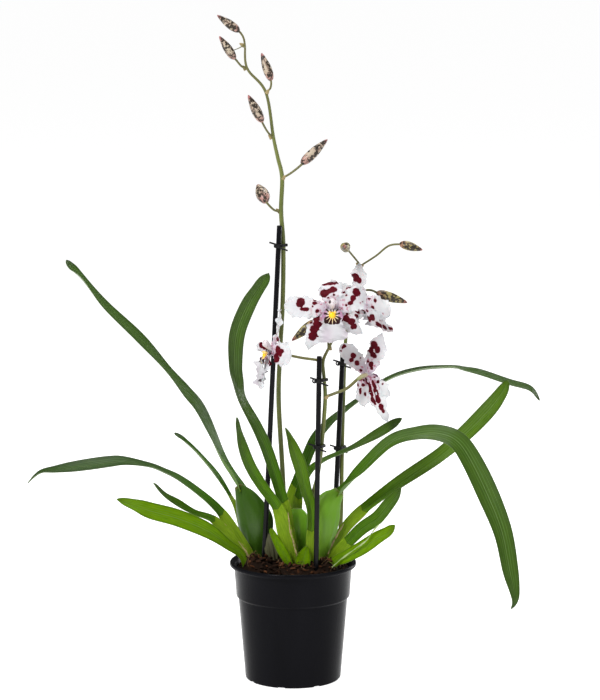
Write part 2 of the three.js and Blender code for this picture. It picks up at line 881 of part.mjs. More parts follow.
function stemHole({ stem }) {
  const [x, y, z, radius] = stem[0];
  return rod([[x, y, z - 2 * GAP, radius], stem[1]], { sides: 6, grow: 3 * GAP });
}

// Blooms. centre is where the tepals meet and facing is the way that the bloom looks. A tepal is
// [angle, length, width, lift, curl]: angle turns from the bloom's own right, as seen from its
// front, lift leans it forward, and curl bends it back along its length. ovary is the thick top of
// the stalk, from the stalk's end to the bloom's back.
const BLOOMS = {
  front: {
    centre: [36, -45, 355],
    facing: [0.04, -1, 0.1],
    ovary: [[41, -23, 338], [41, -30, 348], [38, -37, 353]],
    tepals: [
      [91, 33, 21, 20, 26],
      [168, 46, 24, 8, 14],
      [46, 40, 22, 6, 24],
      [238, 36, 18, 4, 10],
      [325, 36, 18, 0, 24],
    ],
    lip: [272, 28, 29, 33, 40],
  },
  back: {
    centre: [63, 16, 352],
    facing: [0.62, 0.76, 0.12],
    ovary: [[50.5, 13.2, 346.5], [54, 11, 349], [58, 11.5, 351]],
    tepals: [
      [90, 42, 20, 8, 10],
      [166, 38, 22, 8, 30],
      [28, 34, 20, 6, 20],
      [204, 45, 16, 4, 8],
      [292, 28, 16, 6, 12],
    ],
    lip: [252, 30, 25, 50, 30],
  },
  left: {
    centre: [-24, -34, 316],
    facing: [-0.95, -0.28, 0.08],
    ovary: [[-5.6, -30.2, 315.2], [-10, -32, 316], [-15, -33, 316.5]],
    tepals: [
      [84, 40, 15, 4, 12],
      [8, 32, 23, -4, 24],
      [150, 24, 15, 14, 20],
      [302, 33, 14, -4, 10],
      [232, 33, 14, -10, 14],
    ],
    lip: [272, 34, 26, 22, 40],
  },
  low: {
    centre: [69, -14, 294],
    facing: [0.46, 0.88, -0.06],
    ovary: [[59.4, -22.6, 290.4], [62, -20.5, 291.8], [65, -18, 293.2]],
    tepals: [
      [109, 43, 21, 4, 8],
      [42, 41, 18, 4, 12],
      [190, 30, 20, 8, 26],
      [235, 49, 16, 4, 8],
      [274, 28, 15, 8, 16],
    ],
    lip: [256, 28, 25, 50, 30],
  },
};

// The bloom's own axes: out of its face, up and right as seen from the front.
function axesOf({ facing }) {
  const out = vec(...facing).normalize();
  const up = vec(0, 0, 1).addScaledVector(out, -out.z).normalize();
  return { out, up, right: up.clone().cross(out) };
}

// Rows of a blade that leaves the centre at an angle and bends back evenly along its length.
// profile gives its width from 0 at the centre to 1 at its tip.
function petalRows(bloom, [angle, length, , lift, curl], profile, start = 0) {
  const { out, up, right } = axesOf(bloom);
  const away = right
    .clone()
    .multiplyScalar(Math.cos(rad(angle)))
    .addScaledVector(up, Math.sin(rad(angle)));
  const at = vec(...bloom.centre).addScaledVector(out, start).addScaledVector(away, 0.6);
  const step = length / PETAL_ROWS;
  const rows = [];
  for (let i = 0; i <= PETAL_ROWS; i++) {
    rows.push([...at.toArray(), profile(i / PETAL_ROWS), 90]);
    const lean = rad(lift - (2 * curl * (i + 0.5)) / PETAL_ROWS);
    at.addScaledVector(away, step * Math.cos(lean));
    at.addScaledVector(out, step * Math.sin(lean));
  }
  return rows;
}

// A pointed tepal: a narrow claw, widest past the middle, with a ruffled margin.
function makeTepal(bloom, tepal, order) {
  const wide = tepal[2];
  const profile = (s) => 1 + wide * mix(TEPAL.claw, 1, smooth(s / 0.5)) * (1 - 0.6 * s ** 4);
  return blade({
    rows: petalRows(bloom, tepal, profile),
    front: axesOf(bloom).out,
    steps: TEPAL.steps,
    tip: TEPAL.tip,
    fold: (s) => 8 - 14 * s,
    wave: (s, k) =>
      TEPAL.ruffle * Math.abs(k) * Math.sin(TEPAL.ruffles * s + 2.1 * order + 1.3 * k),
    rib: TEPAL.rib,
    edge: TEPAL.edge,
  });
}

// The column: a short stout post that leans out over the lip.
function makeColumn(bloom, grow = 0) {
  const { out, up } = axesOf(bloom);
  const rows = COLUMN.map(([forward, rise, radius]) => [
    ...vec(...bloom.centre).addScaledVector(out, forward).addScaledVector(up, rise).toArray(),
    radius,
  ]);
  return rod(rows, { steps: 4, sides: 6, grow });
}

function makeOvary({ ovary, centre }) {
  const radii = [1.3, 1.8, 2, 1.6];
  return rod([...ovary, centre].map((point, i) => [...point, radii[i]]), { sides: 6 });
}

function makeTepals(bloom) {
  const tepals = bloom.tepals.map((tepal, i) => makeTepal(bloom, tepal, i));
  return largest(fused([...tepals, makeColumn(bloom), makeOvary(bloom)]));
}

// The lip: a narrow claw under the column, a broad ruffled blade with a notched end, and a callus.
function makeLip(bloom) {
  const wide = bloom.lip[2];
  const { out } = axesOf(bloom);
  const profile = (s) => 1 + mix(LIP.claw, wide, smooth((s - 0.1) / 0.5)) * (1 - 0.4 * s ** 5);
  const rows = petalRows(bloom, bloom.lip, profile, LIP.forward);
  const sheet = blade({
    rows,
    front: out,
    steps: LIP.steps,
    tip: LIP.tip,
    fold: (s) => 20 - 34 * s,
    wave: (s, k) => LIP.ruffle * Math.abs(k) * s * Math.sin(LIP.ruffles * s + 2.4 * k),
    rib: LIP.rib,
    edge: LIP.edge,
  });
  const callus = rod(
    [
      [...rows[0].slice(0, 3), 1.6],
      [...vec(...rows[1].slice(0, 3)).addScaledVector(out, 0.8).toArray(), 2.1],
      [...rows[2].slice(0, 3), 0.8],
    ],
    { steps: 4, sides: 6 },
  );
  return largest(sheet.add(callus).subtract(makeColumn(bloom, GAP)));
}

// Twist ties. Each is a wire loop round its stake and the stem beside it, with two twisted tails.
const TIES = {
  left_high: { stake: "left", spike: "left", z: 413 },
  centre_high: { stake: "centre", spike: "centre", z: 291 },
  centre_low: { stake: "centre", spike: "centre", z: 229 },
  right_high: { stake: "right", spike: "right", z: 296 },
  right_low: { stake: "right", spike: "right", z: 215 },
};

function onStem({ stem }, z) {
  const i = stem.findIndex((row) => row[2] >= z);
  const t = (z - stem[i - 1][2]) / (stem[i][2] - stem[i - 1][2]);
  return stem[i].map((value, k) => mix(stem[i - 1][k], value, t));
}

function makeTie({ stake, spike, z }) {
  const post = onStake(STAKES[stake], z);
  const [x, y, , radius] = onStem(SPIKES[spike], z);
  const stem = vec(x, y, z);
  const apart = stem.clone().sub(post).setZ(0);
  const heading = Math.atan2(apart.y, apart.x);
  const path = [];
  const round = (centre, size, from) => {
    for (let i = 0; i <= TIE.bends; i++) {
      const angle = heading + from + (Math.PI * i) / TIE.bends;
      const reach = size + TIE.wire + TIE.slack;
      path.push(centre.clone().add(vec(reach * Math.cos(angle), reach * Math.sin(angle), 0)));
    }
  };
  round(stem, radius, -Math.PI / 2);
  round(post, STAKE.radius, Math.PI / 2);
  const knot = path.reduce((a, b) => (a.y < b.y ? a : b));
  const loop = ringOf(path, TIE.wire, TIE.sides);
  const tail = (x, z) => {
    const end = vec(x, -0.25, z).multiplyScalar(TIE.tail);
    return rod(
      [
        [...knot.toArray(), 0.9],
        [...knot.clone().addScaledVector(end, 0.5).toArray(), 0.8],
        [...knot.clone().add(end).toArray(), 0.6],
      ],
      { sides: 3 },
    );
  };
  return fused([loop, tail(-0.9, 0.45), tail(0.95, -0.3)]);
}

// A closed wire through points that come round to the first again.
function ringOf(path, radius, sides) {
  const count = path.length;
  const points = path.flatMap((at, i) => {
    const head = path[(i + 1) % count].clone().sub(path[(i + count - 1) % count]).normalize();
    const out = head.clone().cross(vec(0, 0, 1)).normalize();
    return Array.from({ length: sides }, (_, j) => {
      const angle = (2 * Math.PI * (j + 0.5)) / sides;
      return at
        .clone()
        .addScaledVector(out, radius * Math.cos(angle))
        .addScaledVector(vec(0, 0, 1), radius * Math.sin(angle));
    });
  });
  const faces = [];
  for (let i = 0; i < count; i++)
    for (let j = 0; j < sides; j++) {
      const [a, b] = [i * sides + j, i * sides + ((j + 1) % sides)];
      const [c, d] = [((i + 1) % count) * sides + j, ((i + 1) % count) * sides + ((j + 1) % sides)];
      faces.push([a, d, b], [a, c, d]);
    }
  return solidOf(geometryOf(points, faces));
}

// The rhizome joins the bulbs under the bark, and fleshy roots run down from it.
const RHIZOME = {
  rows: [
    [-42, 5, 90, 3.6],
    [-34, 5, 90, 4.6],
    [-17, 4, 90, 4.6],
    [9, 8, 90, 4.6],
    [24, -4, 90, 4.6],
    [34, -10, 90, 3.6],
  ],
  roots: 5,
  rootRadius: 1.8,
};

function makeRhizome(grow = 0) {
  const body = rod(RHIZOME.rows, { steps: 7, sides: 8, grow });
  const roots = Array.from({ length: RHIZOME.roots }, (_, i) => {
    const share = (i + 0.5) / RHIZOME.roots;
    const [x, y, z] = trace(RHIZOME.rows, shares(10))[Math.round(10 * share)];
    const angle = 2.4 * i + 0.6;
    const [dx, dy] = [Math.cos(angle), Math.sin(angle)];
    const reach = 9 + 3 * (i % 3);
    const at = (out, down) => [
      x * (1 - down / 260) + dx * out,
      y + dy * out,
      z - down,
      RHIZOME.rootRadius,
    ];
    const end = at(reach * 0.6, 64 + 3 * (i % 3));
    return rod([at(0, 0), at(reach * 0.5, 22), at(reach, 42), end], { sides: 5, grow });
  });
  return fused([body, ...roots]);
}

// Assembly
const group = new THREE.Group();

function place(name, solid, look) {
  const material = new THREE.MeshStandardMaterial(COLOURS[look]);
  const mesh = new THREE.Mesh(geometryFrom(solid), material);
  mesh.name = name;
  group.add(mesh);
}

const named = (table, make) => Object.entries(table).map(([key, value]) => make(key, value));

place("pot", makePot(), "pot");
place(
  "bark_mix",
  makeBark([
    makeRhizome(2 * GAP),
    ...Object.values(STAKES).map((stake) => makeStake(stake, 2 * GAP)),
    ...Object.values(LEAVES).filter((leaf) => !leaf.grows).map(leafHole),
    ...Object.values(BULBS).map((bulb) => makeBulb(bulb, 2 * GAP, 4)),
    ...Object.values(SPIKES).map(stemHole),
  ]),
  "bark",
);
place("rhizome_and_roots", makeRhizome(), "root");
named(STAKES, (key, stake) => place(`stake_${key}`, makeStake(stake), "stake"));
named(BULBS, (key, bulb) => place(`bulb_${key}`, makeBulb(bulb), bulb.colour));
named(LEAVES, (key, leaf) => {
  const on = leaf.grows ? [makeBulb(BULBS[leaf.grows], GAP)] : [];
  place(`leaf_${key}`, largest(cut(makeLeaf(leaf), on)), leaf.colour ?? "leaf");
});
named(SPIKES, (key, spike) => place(`spike_${key}`, makeSpike(spike), "spike"));
named(BLOOMS, (key, bloom) => {
  place(`bloom_${key}_tepals`, makeTepals(bloom), "tepals");
  place(`bloom_${key}_lip`, makeLip(bloom), "lip");
});
named(TIES, (key, tie) => place(`tie_${key}`, makeTie(tie), "tie"));

export default group;
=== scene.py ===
# %% [markdown]
# A potted odontonia orchid
#
# The plant stands in a black nursery pot of bark. Flat pseudobulbs rise from the bark, strap leaves
# arch out of them, and three flower spikes are tied to black stakes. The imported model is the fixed
# frame: most pieces below take the place of one of its nodes and give it a finer surface. The pot,
# stakes, ties, stems and upper leaves keep within a few millimetres of their nodes. The bulbs, bracts,
# leaf feet, blooms and the top of the bark were fitted to the photograph and stand up to 17 mm off.
# Loose chips, dry ribbons and fibres are only here, and the roots stay as packed.

import bpy
import numpy as np
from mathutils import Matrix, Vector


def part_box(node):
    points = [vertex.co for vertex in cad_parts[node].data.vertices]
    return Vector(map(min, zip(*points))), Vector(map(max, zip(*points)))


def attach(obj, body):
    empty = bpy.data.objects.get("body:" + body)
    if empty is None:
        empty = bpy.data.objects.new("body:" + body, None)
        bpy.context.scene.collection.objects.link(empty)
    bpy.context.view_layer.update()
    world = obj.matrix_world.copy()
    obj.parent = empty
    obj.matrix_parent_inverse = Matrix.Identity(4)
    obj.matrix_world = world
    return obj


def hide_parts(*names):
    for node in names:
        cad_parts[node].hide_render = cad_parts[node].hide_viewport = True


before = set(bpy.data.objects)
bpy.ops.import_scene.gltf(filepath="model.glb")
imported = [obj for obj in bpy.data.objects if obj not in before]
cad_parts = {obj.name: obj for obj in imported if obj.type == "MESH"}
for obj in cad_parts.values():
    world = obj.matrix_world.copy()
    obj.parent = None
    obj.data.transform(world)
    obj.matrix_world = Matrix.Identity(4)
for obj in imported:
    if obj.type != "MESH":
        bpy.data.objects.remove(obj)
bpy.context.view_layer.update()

# %% [markdown]
# Smooth lines
#
# Leaves, stems and buds all follow a line in space. On paper such a line is a few points, and a
# spline goes through them. A Catmull-Rom spline is used because it passes through its points, so
# the points can be read as places on the plant. Measuring it along its length gives even steps,
# which keeps patterns along it even too. Rows of numbers may hold more than a place, such as a
# width, and those numbers are carried along in the same way.

# %% A line through rows of numbers
MM = 0.001  # the tables below are in millimetres
SPAN_STEPS = 16
FRONT = np.array([0.0, -1.0, 0.0])
UP = np.array([0.0, 0.0, 1.0])


def unit(vectors):
    """Each vector divided by its length."""
    vectors = np.asarray(vectors, float)
    return vectors / np.maximum(np.linalg.norm(vectors, axis=-1, keepdims=True), 1e-12)


def mix(a, b, share):
    """a at a share of 0 and b at a share of 1."""
    return a + (b - a) * share


def smooth(x):
    """3x^2 - 2x^3 between 0 and 1, flat beyond."""
    x = np.clip(x, 0, 1)
    return x * x * (3 - 2 * x)


def line(rows, places):
    """A Catmull-Rom curve through the rows, read at shares of its length.

    Between b and c, with neighbours a and d, the curve is half of
    2b + (c - a) t + (2a - 5b + 4c - d) t^2 + (3b - a - 3c + d) t^3.
    """
    rows = np.asarray(rows, float)
    rows = np.vstack([2 * rows[0] - rows[1], rows, 2 * rows[-1] - rows[-2]])
    a, b, c, d = (rows[i : len(rows) - 3 + i, None] for i in range(4))
    t = (np.arange(SPAN_STEPS) / SPAN_STEPS)[None, :, None]
    fine = 0.5 * (2 * b + (c - a) * t + (2 * a - 5 * b + 4 * c - d) * t**2)
    fine = fine + 0.5 * (3 * b - a - 3 * c + d) * t**3
    fine = np.vstack([fine.reshape(-1, rows.shape[1]), rows[-2]])
    run = np.r_[0, np.cumsum(np.linalg.norm(np.diff(fine[:, :3], axis=0), axis=1))]
    want = np.asarray(places) * run[-1]
    return np.stack([np.interp(want, run, column) for column in fine.T], 1)


def headings(points):
    """The direction of travel at each point of a line."""
    return unit(np.gradient(points, axis=0))


demo = line([[0, 0, 0], [3, 4, 0], [6, 8, 0]], np.linspace(0, 1, 5))
print("five even steps along a straight line:", demo[:, 0])

# %% [markdown]
# Grids of points as meshes
#
# Every surface here is a grid: rows along the piece and columns across or around it. A closed grid
# joins its last column to its first, as on a stem, and its ends are capped, so the mesh is one
# closed skin. Each point also carries a few marks, such as its share of the length or its distance
# from a blotch, which the materials read later. Marks follow the surface however it bends, so they
# suit petals and leaves better than a flat picture would.

# %% Grids into meshes
GRID_MARKS = ("along", "across", "blotch", "tint", "shade", "warm")
SHARP_FROM = 50  # degrees between faces, from which an edge is drawn sharp


def grid_faces(rows, columns, first=0):
    """Faces of a closed grid: quads and the two caps of its ends.

    A quad is a point, its neighbour around and the two after them along the piece.
    """
    row, column = np.mgrid[0 : rows - 1, 0:columns]
    beside = (column + 1) % columns
    corners = [row * columns + column, row * columns + beside]
    corners += [(row + 1) * columns + beside, (row + 1) * columns + column]
    quads = first + np.stack(corners, -1).reshape(-1, 4)
    foot = first + np.arange(columns)[::-1]
    head = first + (rows - 1) * columns + np.arange(columns)
    return quads.tolist() + [foot.tolist(), head.tolist()]


def skin(points, part=0, **marks):
    """One closed grid of points in millimetres, with the place of its finish and its marks."""
    return {"points": np.asarray(points, float), "part": part, "marks": marks}


def build(name, skins, finishes, slot, *nodes):
    """A mesh object from skins: it rides with the plant and stands for the named nodes."""
    places, faces, parts = [], [], []
    marks = {mark: [] for mark in GRID_MARKS}
    first = 0
    for one in skins:
        rows, columns = one["points"].shape[:2]
        made = grid_faces(rows, columns, first)
        faces += made
        parts += [one["part"]] * len(made)
        places.append(one["points"].reshape(-1, 3) * MM)
        for mark, values in marks.items():
            wanted = one["marks"].get(mark, 0.0)
            values.append(np.broadcast_to(wanted, (rows, columns)).ravel())
        first += rows * columns
    mesh = bpy.data.meshes.new(name)
    mesh.from_pydata(np.vstack(places).tolist(), [], faces)
    mesh.polygons.foreach_set("material_index", parts)
    mesh.polygons.foreach_set("use_smooth", [True] * len(faces))
    for mark, values in marks.items():
        mesh.attributes.new(mark, "FLOAT", "POINT").data.foreach_set("value", np.concatenate(values))
    mesh.set_sharp_from_angle(angle=np.radians(SHARP_FROM))
    for finish in finishes:
        mesh.materials.append(finish.material)
    piece = bpy.data.objects.new(name, mesh)
    bpy.context.scene.collection.objects.link(piece)
    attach(piece, "root")
    if nodes:
        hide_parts(*nodes)
    print(f"{name}: {len(faces)} faces")
    return piece

# %% [markdown]
# Camera
#
# The plant is seen from a little above and from far away, so that its uprights stay parallel. A
# long lens does that, and its focal length is worked out from the photograph's height in pixels.

# %% The camera at the photograph's angle
FRAME_HEIGHT = 700  # pixels
FOCAL_PIXELS = 2811
SENSOR = 36  # millimetres
EYE = (0.0066, -2.6, 0.7257)  # metres
AIM_HEIGHT = 0.3149  # metres, over the pot's foot

eye = bpy.data.cameras.new("camera")
eye.sensor_width = SENSOR
eye.lens = FOCAL_PIXELS * SENSOR / FRAME_HEIGHT
camera = bpy.data.objects.new("camera", eye)
camera.location = EYE
camera.rotation_euler = (np.pi / 2 - np.arctan2(EYE[2] - AIM_HEIGHT, -EYE[1]), 0, 0)
bpy.context.scene.collection.objects.link(camera)
bpy.context.scene.camera = camera
print("lens", round(eye.lens, 1), "mm")

# %% [markdown]
# Finishes
#
# A finish is one shader whose colour, gloss and relief are fed by short chains of nodes. Chains can
# be drawn by hand in the node editor. Here a small class adds the nodes, so that a finish reads as a
# few lines: noise gives a share, the share blends two colours, and marks of the mesh say where.

# %% Finishes as small chains of nodes


def screen(red, green, blue):
    """A colour as a screen shows it, 0 to 255, turned into the linear one that shaders take."""
    shown = np.array([red, green, blue]) / 255
    low = shown / 12.92
    high = ((shown + 0.055) / 1.055) ** 2.4
    return tuple(float(v) for v in np.where(shown <= 0.04045, low, high))


class Finish:
    """A material with one shader. Plain values go on the shader's own sockets."""

    def __init__(self, name, **plain):
        self.material = bpy.data.materials.new(name)
        self.material.use_nodes = True
        self.tree = self.material.node_tree
        self.shader = self.tree.nodes["Principled BSDF"]
        for socket, value in plain.items():
            self.shader.inputs[socket.replace("_", " ")].default_value = value

    def node(self, kind, inputs, output=0, **settings):
        """A node with its settings made and its inputs fed by numbers, colours or other outputs."""
        made = self.tree.nodes.new("ShaderNode" + kind)
        for setting, value in settings.items():
            setattr(made, setting, value)
        for socket, value in inputs.items():
            if isinstance(value, bpy.types.NodeSocket):
                self.tree.links.new(value, made.inputs[socket])
            else:
                made.inputs[socket].default_value = value
        return made.outputs[output]

    def mark(self, name):
        """A number that the mesh carries at each of its points."""
        return self.node("Attribute", {}, "Fac", attribute_name=name)

    def grain(self, scale, detail=3.0, stretch=(1, 1, 1), where=None, rough=0.55):
        """Soft noise between 0 and 1, in stretched object coordinates or along a given vector."""
        if where is None:
            spot = self.node("TexCoord", {}, "Object")
            where = self.node("Mapping", {"Vector": spot, "Scale": stretch})
        inputs = {"Vector": where, "Scale": scale, "Detail": detail, "Roughness": rough}
        return self.node("TexNoise", inputs, "Fac")

    def math(self, operation, first, second=0.0):
        """The operation on one or two numbers or outputs."""
        return self.node("Math", {0: first, 1: second}, operation=operation)

    def fade(self, value, low, high, start=0.0, end=1.0):
        """start where the value is low, end where it is high, and a smooth step between."""
        inputs = {"Value": value, "From Min": low, "From Max": high, "To Min": start, "To Max": end}
        return self.node("MapRange", inputs, "Result", interpolation_type="SMOOTHSTEP")

    def blend(self, share, first, second):
        """The first colour at a share of 0 and the second at 1. A plain colour is a screen's."""
        first, second = (screen(*c) + (1,) if isinstance(c, tuple) else c for c in (first, second))
        return self.node("Mix", {0: share, 6: first, 7: second}, 2, data_type="RGBA")

    def over(self, base, *layers):
        """A colour with further ones laid over it, each given as its share and its colour."""
        for share, colour in layers:
            base = self.blend(share, base, colour)
        return base

    def wear(self, socket, value):
        """Feeds one of the shader's inputs."""
        self.tree.links.new(value, self.shader.inputs[socket])

    def colour(self, share, first, second):
        """The base colour as a blend."""
        self.wear("Base Color", self.blend(share, first, second))

    def relief(self, height, depth):
        """Bump from a height, where a height of 1 stands for the depth in metres."""
        self.wear("Normal", self.node("Bump", {"Height": height, "Distance": depth}))


def mottled(name, noise, dark, light, bump=None, **plain):
    """A finish of two tones mixed by noise, given as grain() takes it, and a bump of its own.

    bump is a depth in metres and then the noise of the bump, as a tuple.
    """
    made = Finish(name, **plain)
    made.colour(made.grain(*noise), dark, light)
    if bump:
        depth, *fine = bump
        made.relief(made.grain(*fine), depth)
    return made


print("mid grey:", [round(v, 3) for v in screen(128, 128, 128)])

# %% [markdown]
# Floor and light
#
# The floor is a plain pale sheet under a pale sky, and it glows a little, so that it shows as white
# as the photograph's ground. The light comes from large soft panels: a key from the front left, a
# fill from the right, one from above behind, which gives the long leaves their sheen, and two
# narrow ones behind the pot.

# %% The floor and the light panels
FLOOR_SIZE = 60  # metres
FLOOR_GLOW = 0.92
SKY = 0.12
PANELS = {
    # where the panel hangs, its width and height in metres and its power in watts
    "key": ((-1.3, -1.6, 2.2), (0.9, 0.9), 80),
    "fill": ((2.0, -1.6, 1.5), (1.2, 1.2), 14),
    "top": ((0.3, 0.7, 2.4), (1.2, 1.2), 40),
    "left_strip": ((-1.25, 0.9, 0.45), (0.12, 1.4), 0.5),
    "right_strip": ((1.15, 1.05, 0.45), (0.3, 1.4), 11),
}
PLANT_MIDDLE = np.array([0, 0, 0.3])

corner = FLOOR_SIZE / 2
ground = bpy.data.meshes.new("floor")
corners = [(-corner, -corner, 0), (corner, -corner, 0), (corner, corner, 0), (-corner, corner, 0)]
ground.from_pydata(corners, [], [(0, 1, 2, 3)])
floor = bpy.data.objects.new("floor", ground)
bpy.context.scene.collection.objects.link(floor)
pale_floor = Finish("pale_floor", Base_Color=(0.5, 0.5, 0.5, 1), Roughness=0.9,
                    Emission_Color=(1, 1, 1, 1), Emission_Strength=FLOOR_GLOW)
ground.materials.append(pale_floor.material)

sky = bpy.data.worlds.new("sky")
sky.use_nodes = True
glow = sky.node_tree.nodes["Background"].inputs
glow["Color"].default_value = (1, 1, 1, 1)
glow["Strength"].default_value = SKY
bpy.context.scene.world = sky
bpy.context.scene.view_settings.view_transform = "Standard"

for name, (place, (wide, high), power) in PANELS.items():
    lamp = bpy.data.lights.new(name, "AREA")
    lamp.shape = "RECTANGLE"
    lamp.size = wide
    lamp.size_y = high
    lamp.energy = power
    panel = bpy.data.objects.new(name, lamp)
    panel.location = place
    away = unit(np.array(place) - PLANT_MIDDLE)
    panel.rotation_euler = (np.arccos(away[2]), 0, np.arctan2(away[1], away[0]) + np.pi / 2)
    bpy.context.scene.collection.objects.link(panel)
print(len(PANELS), "light panels")

# %% [markdown]
# The nursery pot
#
# A thin moulded pot: a rolled lip, a straight band under it, a step and a tapered body on a foot
# with drain holes. It could be turned with a Screw modifier. Here one function carries the profile
# round the axis, because the same grid code then serves every round piece, and the drain holes are
# cut by a Boolean.

# %% The pot's profile, carried round
POT_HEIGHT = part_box("pot")[1].z / MM
POT_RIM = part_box("pot")[1].x / MM
POT_SIDES = 160
POT_WALL = 1.6
BAND_BOTTOM = 80.5
BAND_RADIUS = 53.9
STEP_RADIUS = 51.9
NECK_RADIUS = 55.8
FOOT_RADIUS = 45.4
POT_FLOOR = 2.4
LIP_BOTTOM = POT_HEIGHT - 4.5
DRAINS = 8
DRAIN_RADIUS = 3.5
DRAIN_CIRCLE = 33
DRAIN_SIDES = 24
NOTCH = (8, 7, 3)  # length, width and height of a square notch in the foot's edge
NOTCH_TURN = np.radians(8)
ON_AXIS = 0.01  # radius of the small caps that close a turned piece on its axis

pot_profile = [
    [ON_AXIS, 0],
    [FOOT_RADIUS - 2, 0],
    [FOOT_RADIUS - 0.9, 0.3],
    [FOOT_RADIUS - 0.2, 1],
    [FOOT_RADIUS, 2],
    [STEP_RADIUS - 0.1, BAND_BOTTOM - 2.4],
    [STEP_RADIUS + 0.2, BAND_BOTTOM - 1.4],
    [BAND_RADIUS - 0.3, BAND_BOTTOM - 0.5],
    [BAND_RADIUS, BAND_BOTTOM + 0.2],
    [NECK_RADIUS - 0.1, LIP_BOTTOM - 1.1],
    [NECK_RADIUS + 0.5, LIP_BOTTOM - 0.2],
    [POT_RIM - 1.4, LIP_BOTTOM + 0.2],
    [POT_RIM - 0.4, LIP_BOTTOM + 0.8],
    [POT_RIM, LIP_BOTTOM + 1.8],
    [POT_RIM - 0.1, POT_HEIGHT - 1.4],
    [POT_RIM - 0.5, POT_HEIGHT - 0.4],
    [POT_RIM - 1.3, POT_HEIGHT],
    [POT_RIM - 2.3, POT_HEIGHT - 0.3],
    [NECK_RADIUS - POT_WALL + 0.6, LIP_BOTTOM + 1.4],
    [BAND_RADIUS - POT_WALL, BAND_BOTTOM + 1],
    [STEP_RADIUS - POT_WALL, BAND_BOTTOM - 1],
    [FOOT_RADIUS - POT_WALL, POT_FLOOR + 1.2],
    [FOOT_RADIUS - POT_WALL - 1.4, POT_FLOOR],
    [ON_AXIS, POT_FLOOR],
]


def turned(profile, sides):
    """A profile of [radius, height] carried round the Z axis: (r cos a, r sin a, z)."""
    radius, height = np.array(profile, float).T[:, :, None]
    angle = np.linspace(0, 2 * np.pi, sides, endpoint=False)
    return np.stack(np.broadcast_arrays(radius * np.cos(angle), radius * np.sin(angle), height), -1)


black_plastic = mottled("black_pot_plastic", (26, 2, (1, 1, 0.2)), (11, 11, 13), (20, 20, 24),
                        (0.00005, 900, 2), IOR=1.1)
black_plastic.wear("Roughness", black_plastic.fade(black_plastic.grain(60, 4), 0.3, 0.7, 0.2, 0.26))

pot = build("nursery_pot", [skin(turned(pot_profile, POT_SIDES))], [black_plastic], "pot", "pot")

# %% Drain holes and the notches beside them


def cutter(name, points):
    """A closed cutting shape from a grid of points, not part of the plant."""
    mesh = bpy.data.meshes.new(name)
    mesh.from_pydata((points.reshape(-1, 3) * MM).tolist(), [], grid_faces(*points.shape[:2]))
    return bpy.data.objects.new(name, mesh)


def drain_shapes(i):
    """The round hole and the square notch of place i, at the angle 2 pi (i + 1/2) / DRAINS."""
    angle = 2 * np.pi * (i + 0.5) / DRAINS
    hole = turned([[DRAIN_RADIUS, -POT_FLOOR], [DRAIN_RADIUS, 2 * POT_FLOOR]], DRAIN_SIDES)
    hole = hole + DRAIN_CIRCLE * np.array([np.cos(angle), np.sin(angle), 0])
    long, wide, high = np.array(NOTCH) / 2
    x = np.array([-long, long, long, -long]) + FOOT_RADIUS
    y = np.array([-wide, -wide, wide, wide])
    spin = angle + NOTCH_TURN
    turned_x = x * np.cos(spin) - y * np.sin(spin)
    turned_y = x * np.sin(spin) + y * np.cos(spin)
    notch = np.array([np.stack([turned_x, turned_y, np.full(4, z)], -1) for z in (-high, high)])
    return hole, notch


for i in range(DRAINS):
    for shape in drain_shapes(i):
        tool = cutter("drain", shape)
        bpy.context.scene.collection.objects.link(tool)
        cut = pot.modifiers.new("drain", "BOOLEAN")
        cut.object = tool
        cut.operation = "DIFFERENCE"
        cut.solver = "EXACT"
        bpy.context.view_layer.objects.active = pot
        bpy.ops.object.modifier_apply(modifier=cut.name)
        bpy.data.objects.remove(tool)
print("pot with", DRAINS, "drain holes:", len(pot.data.polygons), "faces")

# %% [markdown]
# Bark mix
#
# Orchids grow in chunks of fir bark. A heap of loose chips could be dropped by a physics run, which
# is slow and has to be kept with the file. Here a rough bed fills the pot, and some hundreds of flat
# chips of thirty faces each lie over it, placed by the golden angle and tilted by a seeded draw.

# %% The bed of bark
BARK_EDGE = 106
BARK_HEAP = 9
BARK_RELIEF = 2.2
BARK_REACH = 53
BARK_SPOKES = 72
BARK_RINGS = 25
# Mounds against the leaves' feet on the left and the right: x, y, height and spread.
BARK_MOUNDS = ((-42, -22, 15, 9), (35, -27, 10, 8))
BARK_GAP = 0.7  # between the bark and the pot's wall
BARK_LIFT = 0.35  # between the bark and the pot's floor


def bark_height(x, y):
    """The edge's height, plus a low heap and two mounds, plus crossed waves that fade outwards."""
    out = np.minimum(np.hypot(x, y) / BARK_REACH, 1)
    heap = BARK_HEAP * (1 - out**4)
    for mound_x, mound_y, rise, spread in BARK_MOUNDS:
        away = (x - mound_x) ** 2 + (y - mound_y) ** 2
        heap = heap + rise * np.exp(-away / (2 * spread**2)) * (1 - out**8)
    rough = np.sin(0.61 * x + 1.3 * np.sin(0.37 * y)) * np.sin(0.53 * y + 1.7 * np.sin(0.29 * x))
    rough = rough + 0.5 * np.sin(1.13 * x + 0.7 * y)
    return BARK_EDGE + heap + BARK_RELIEF * rough * (1 - out**6)


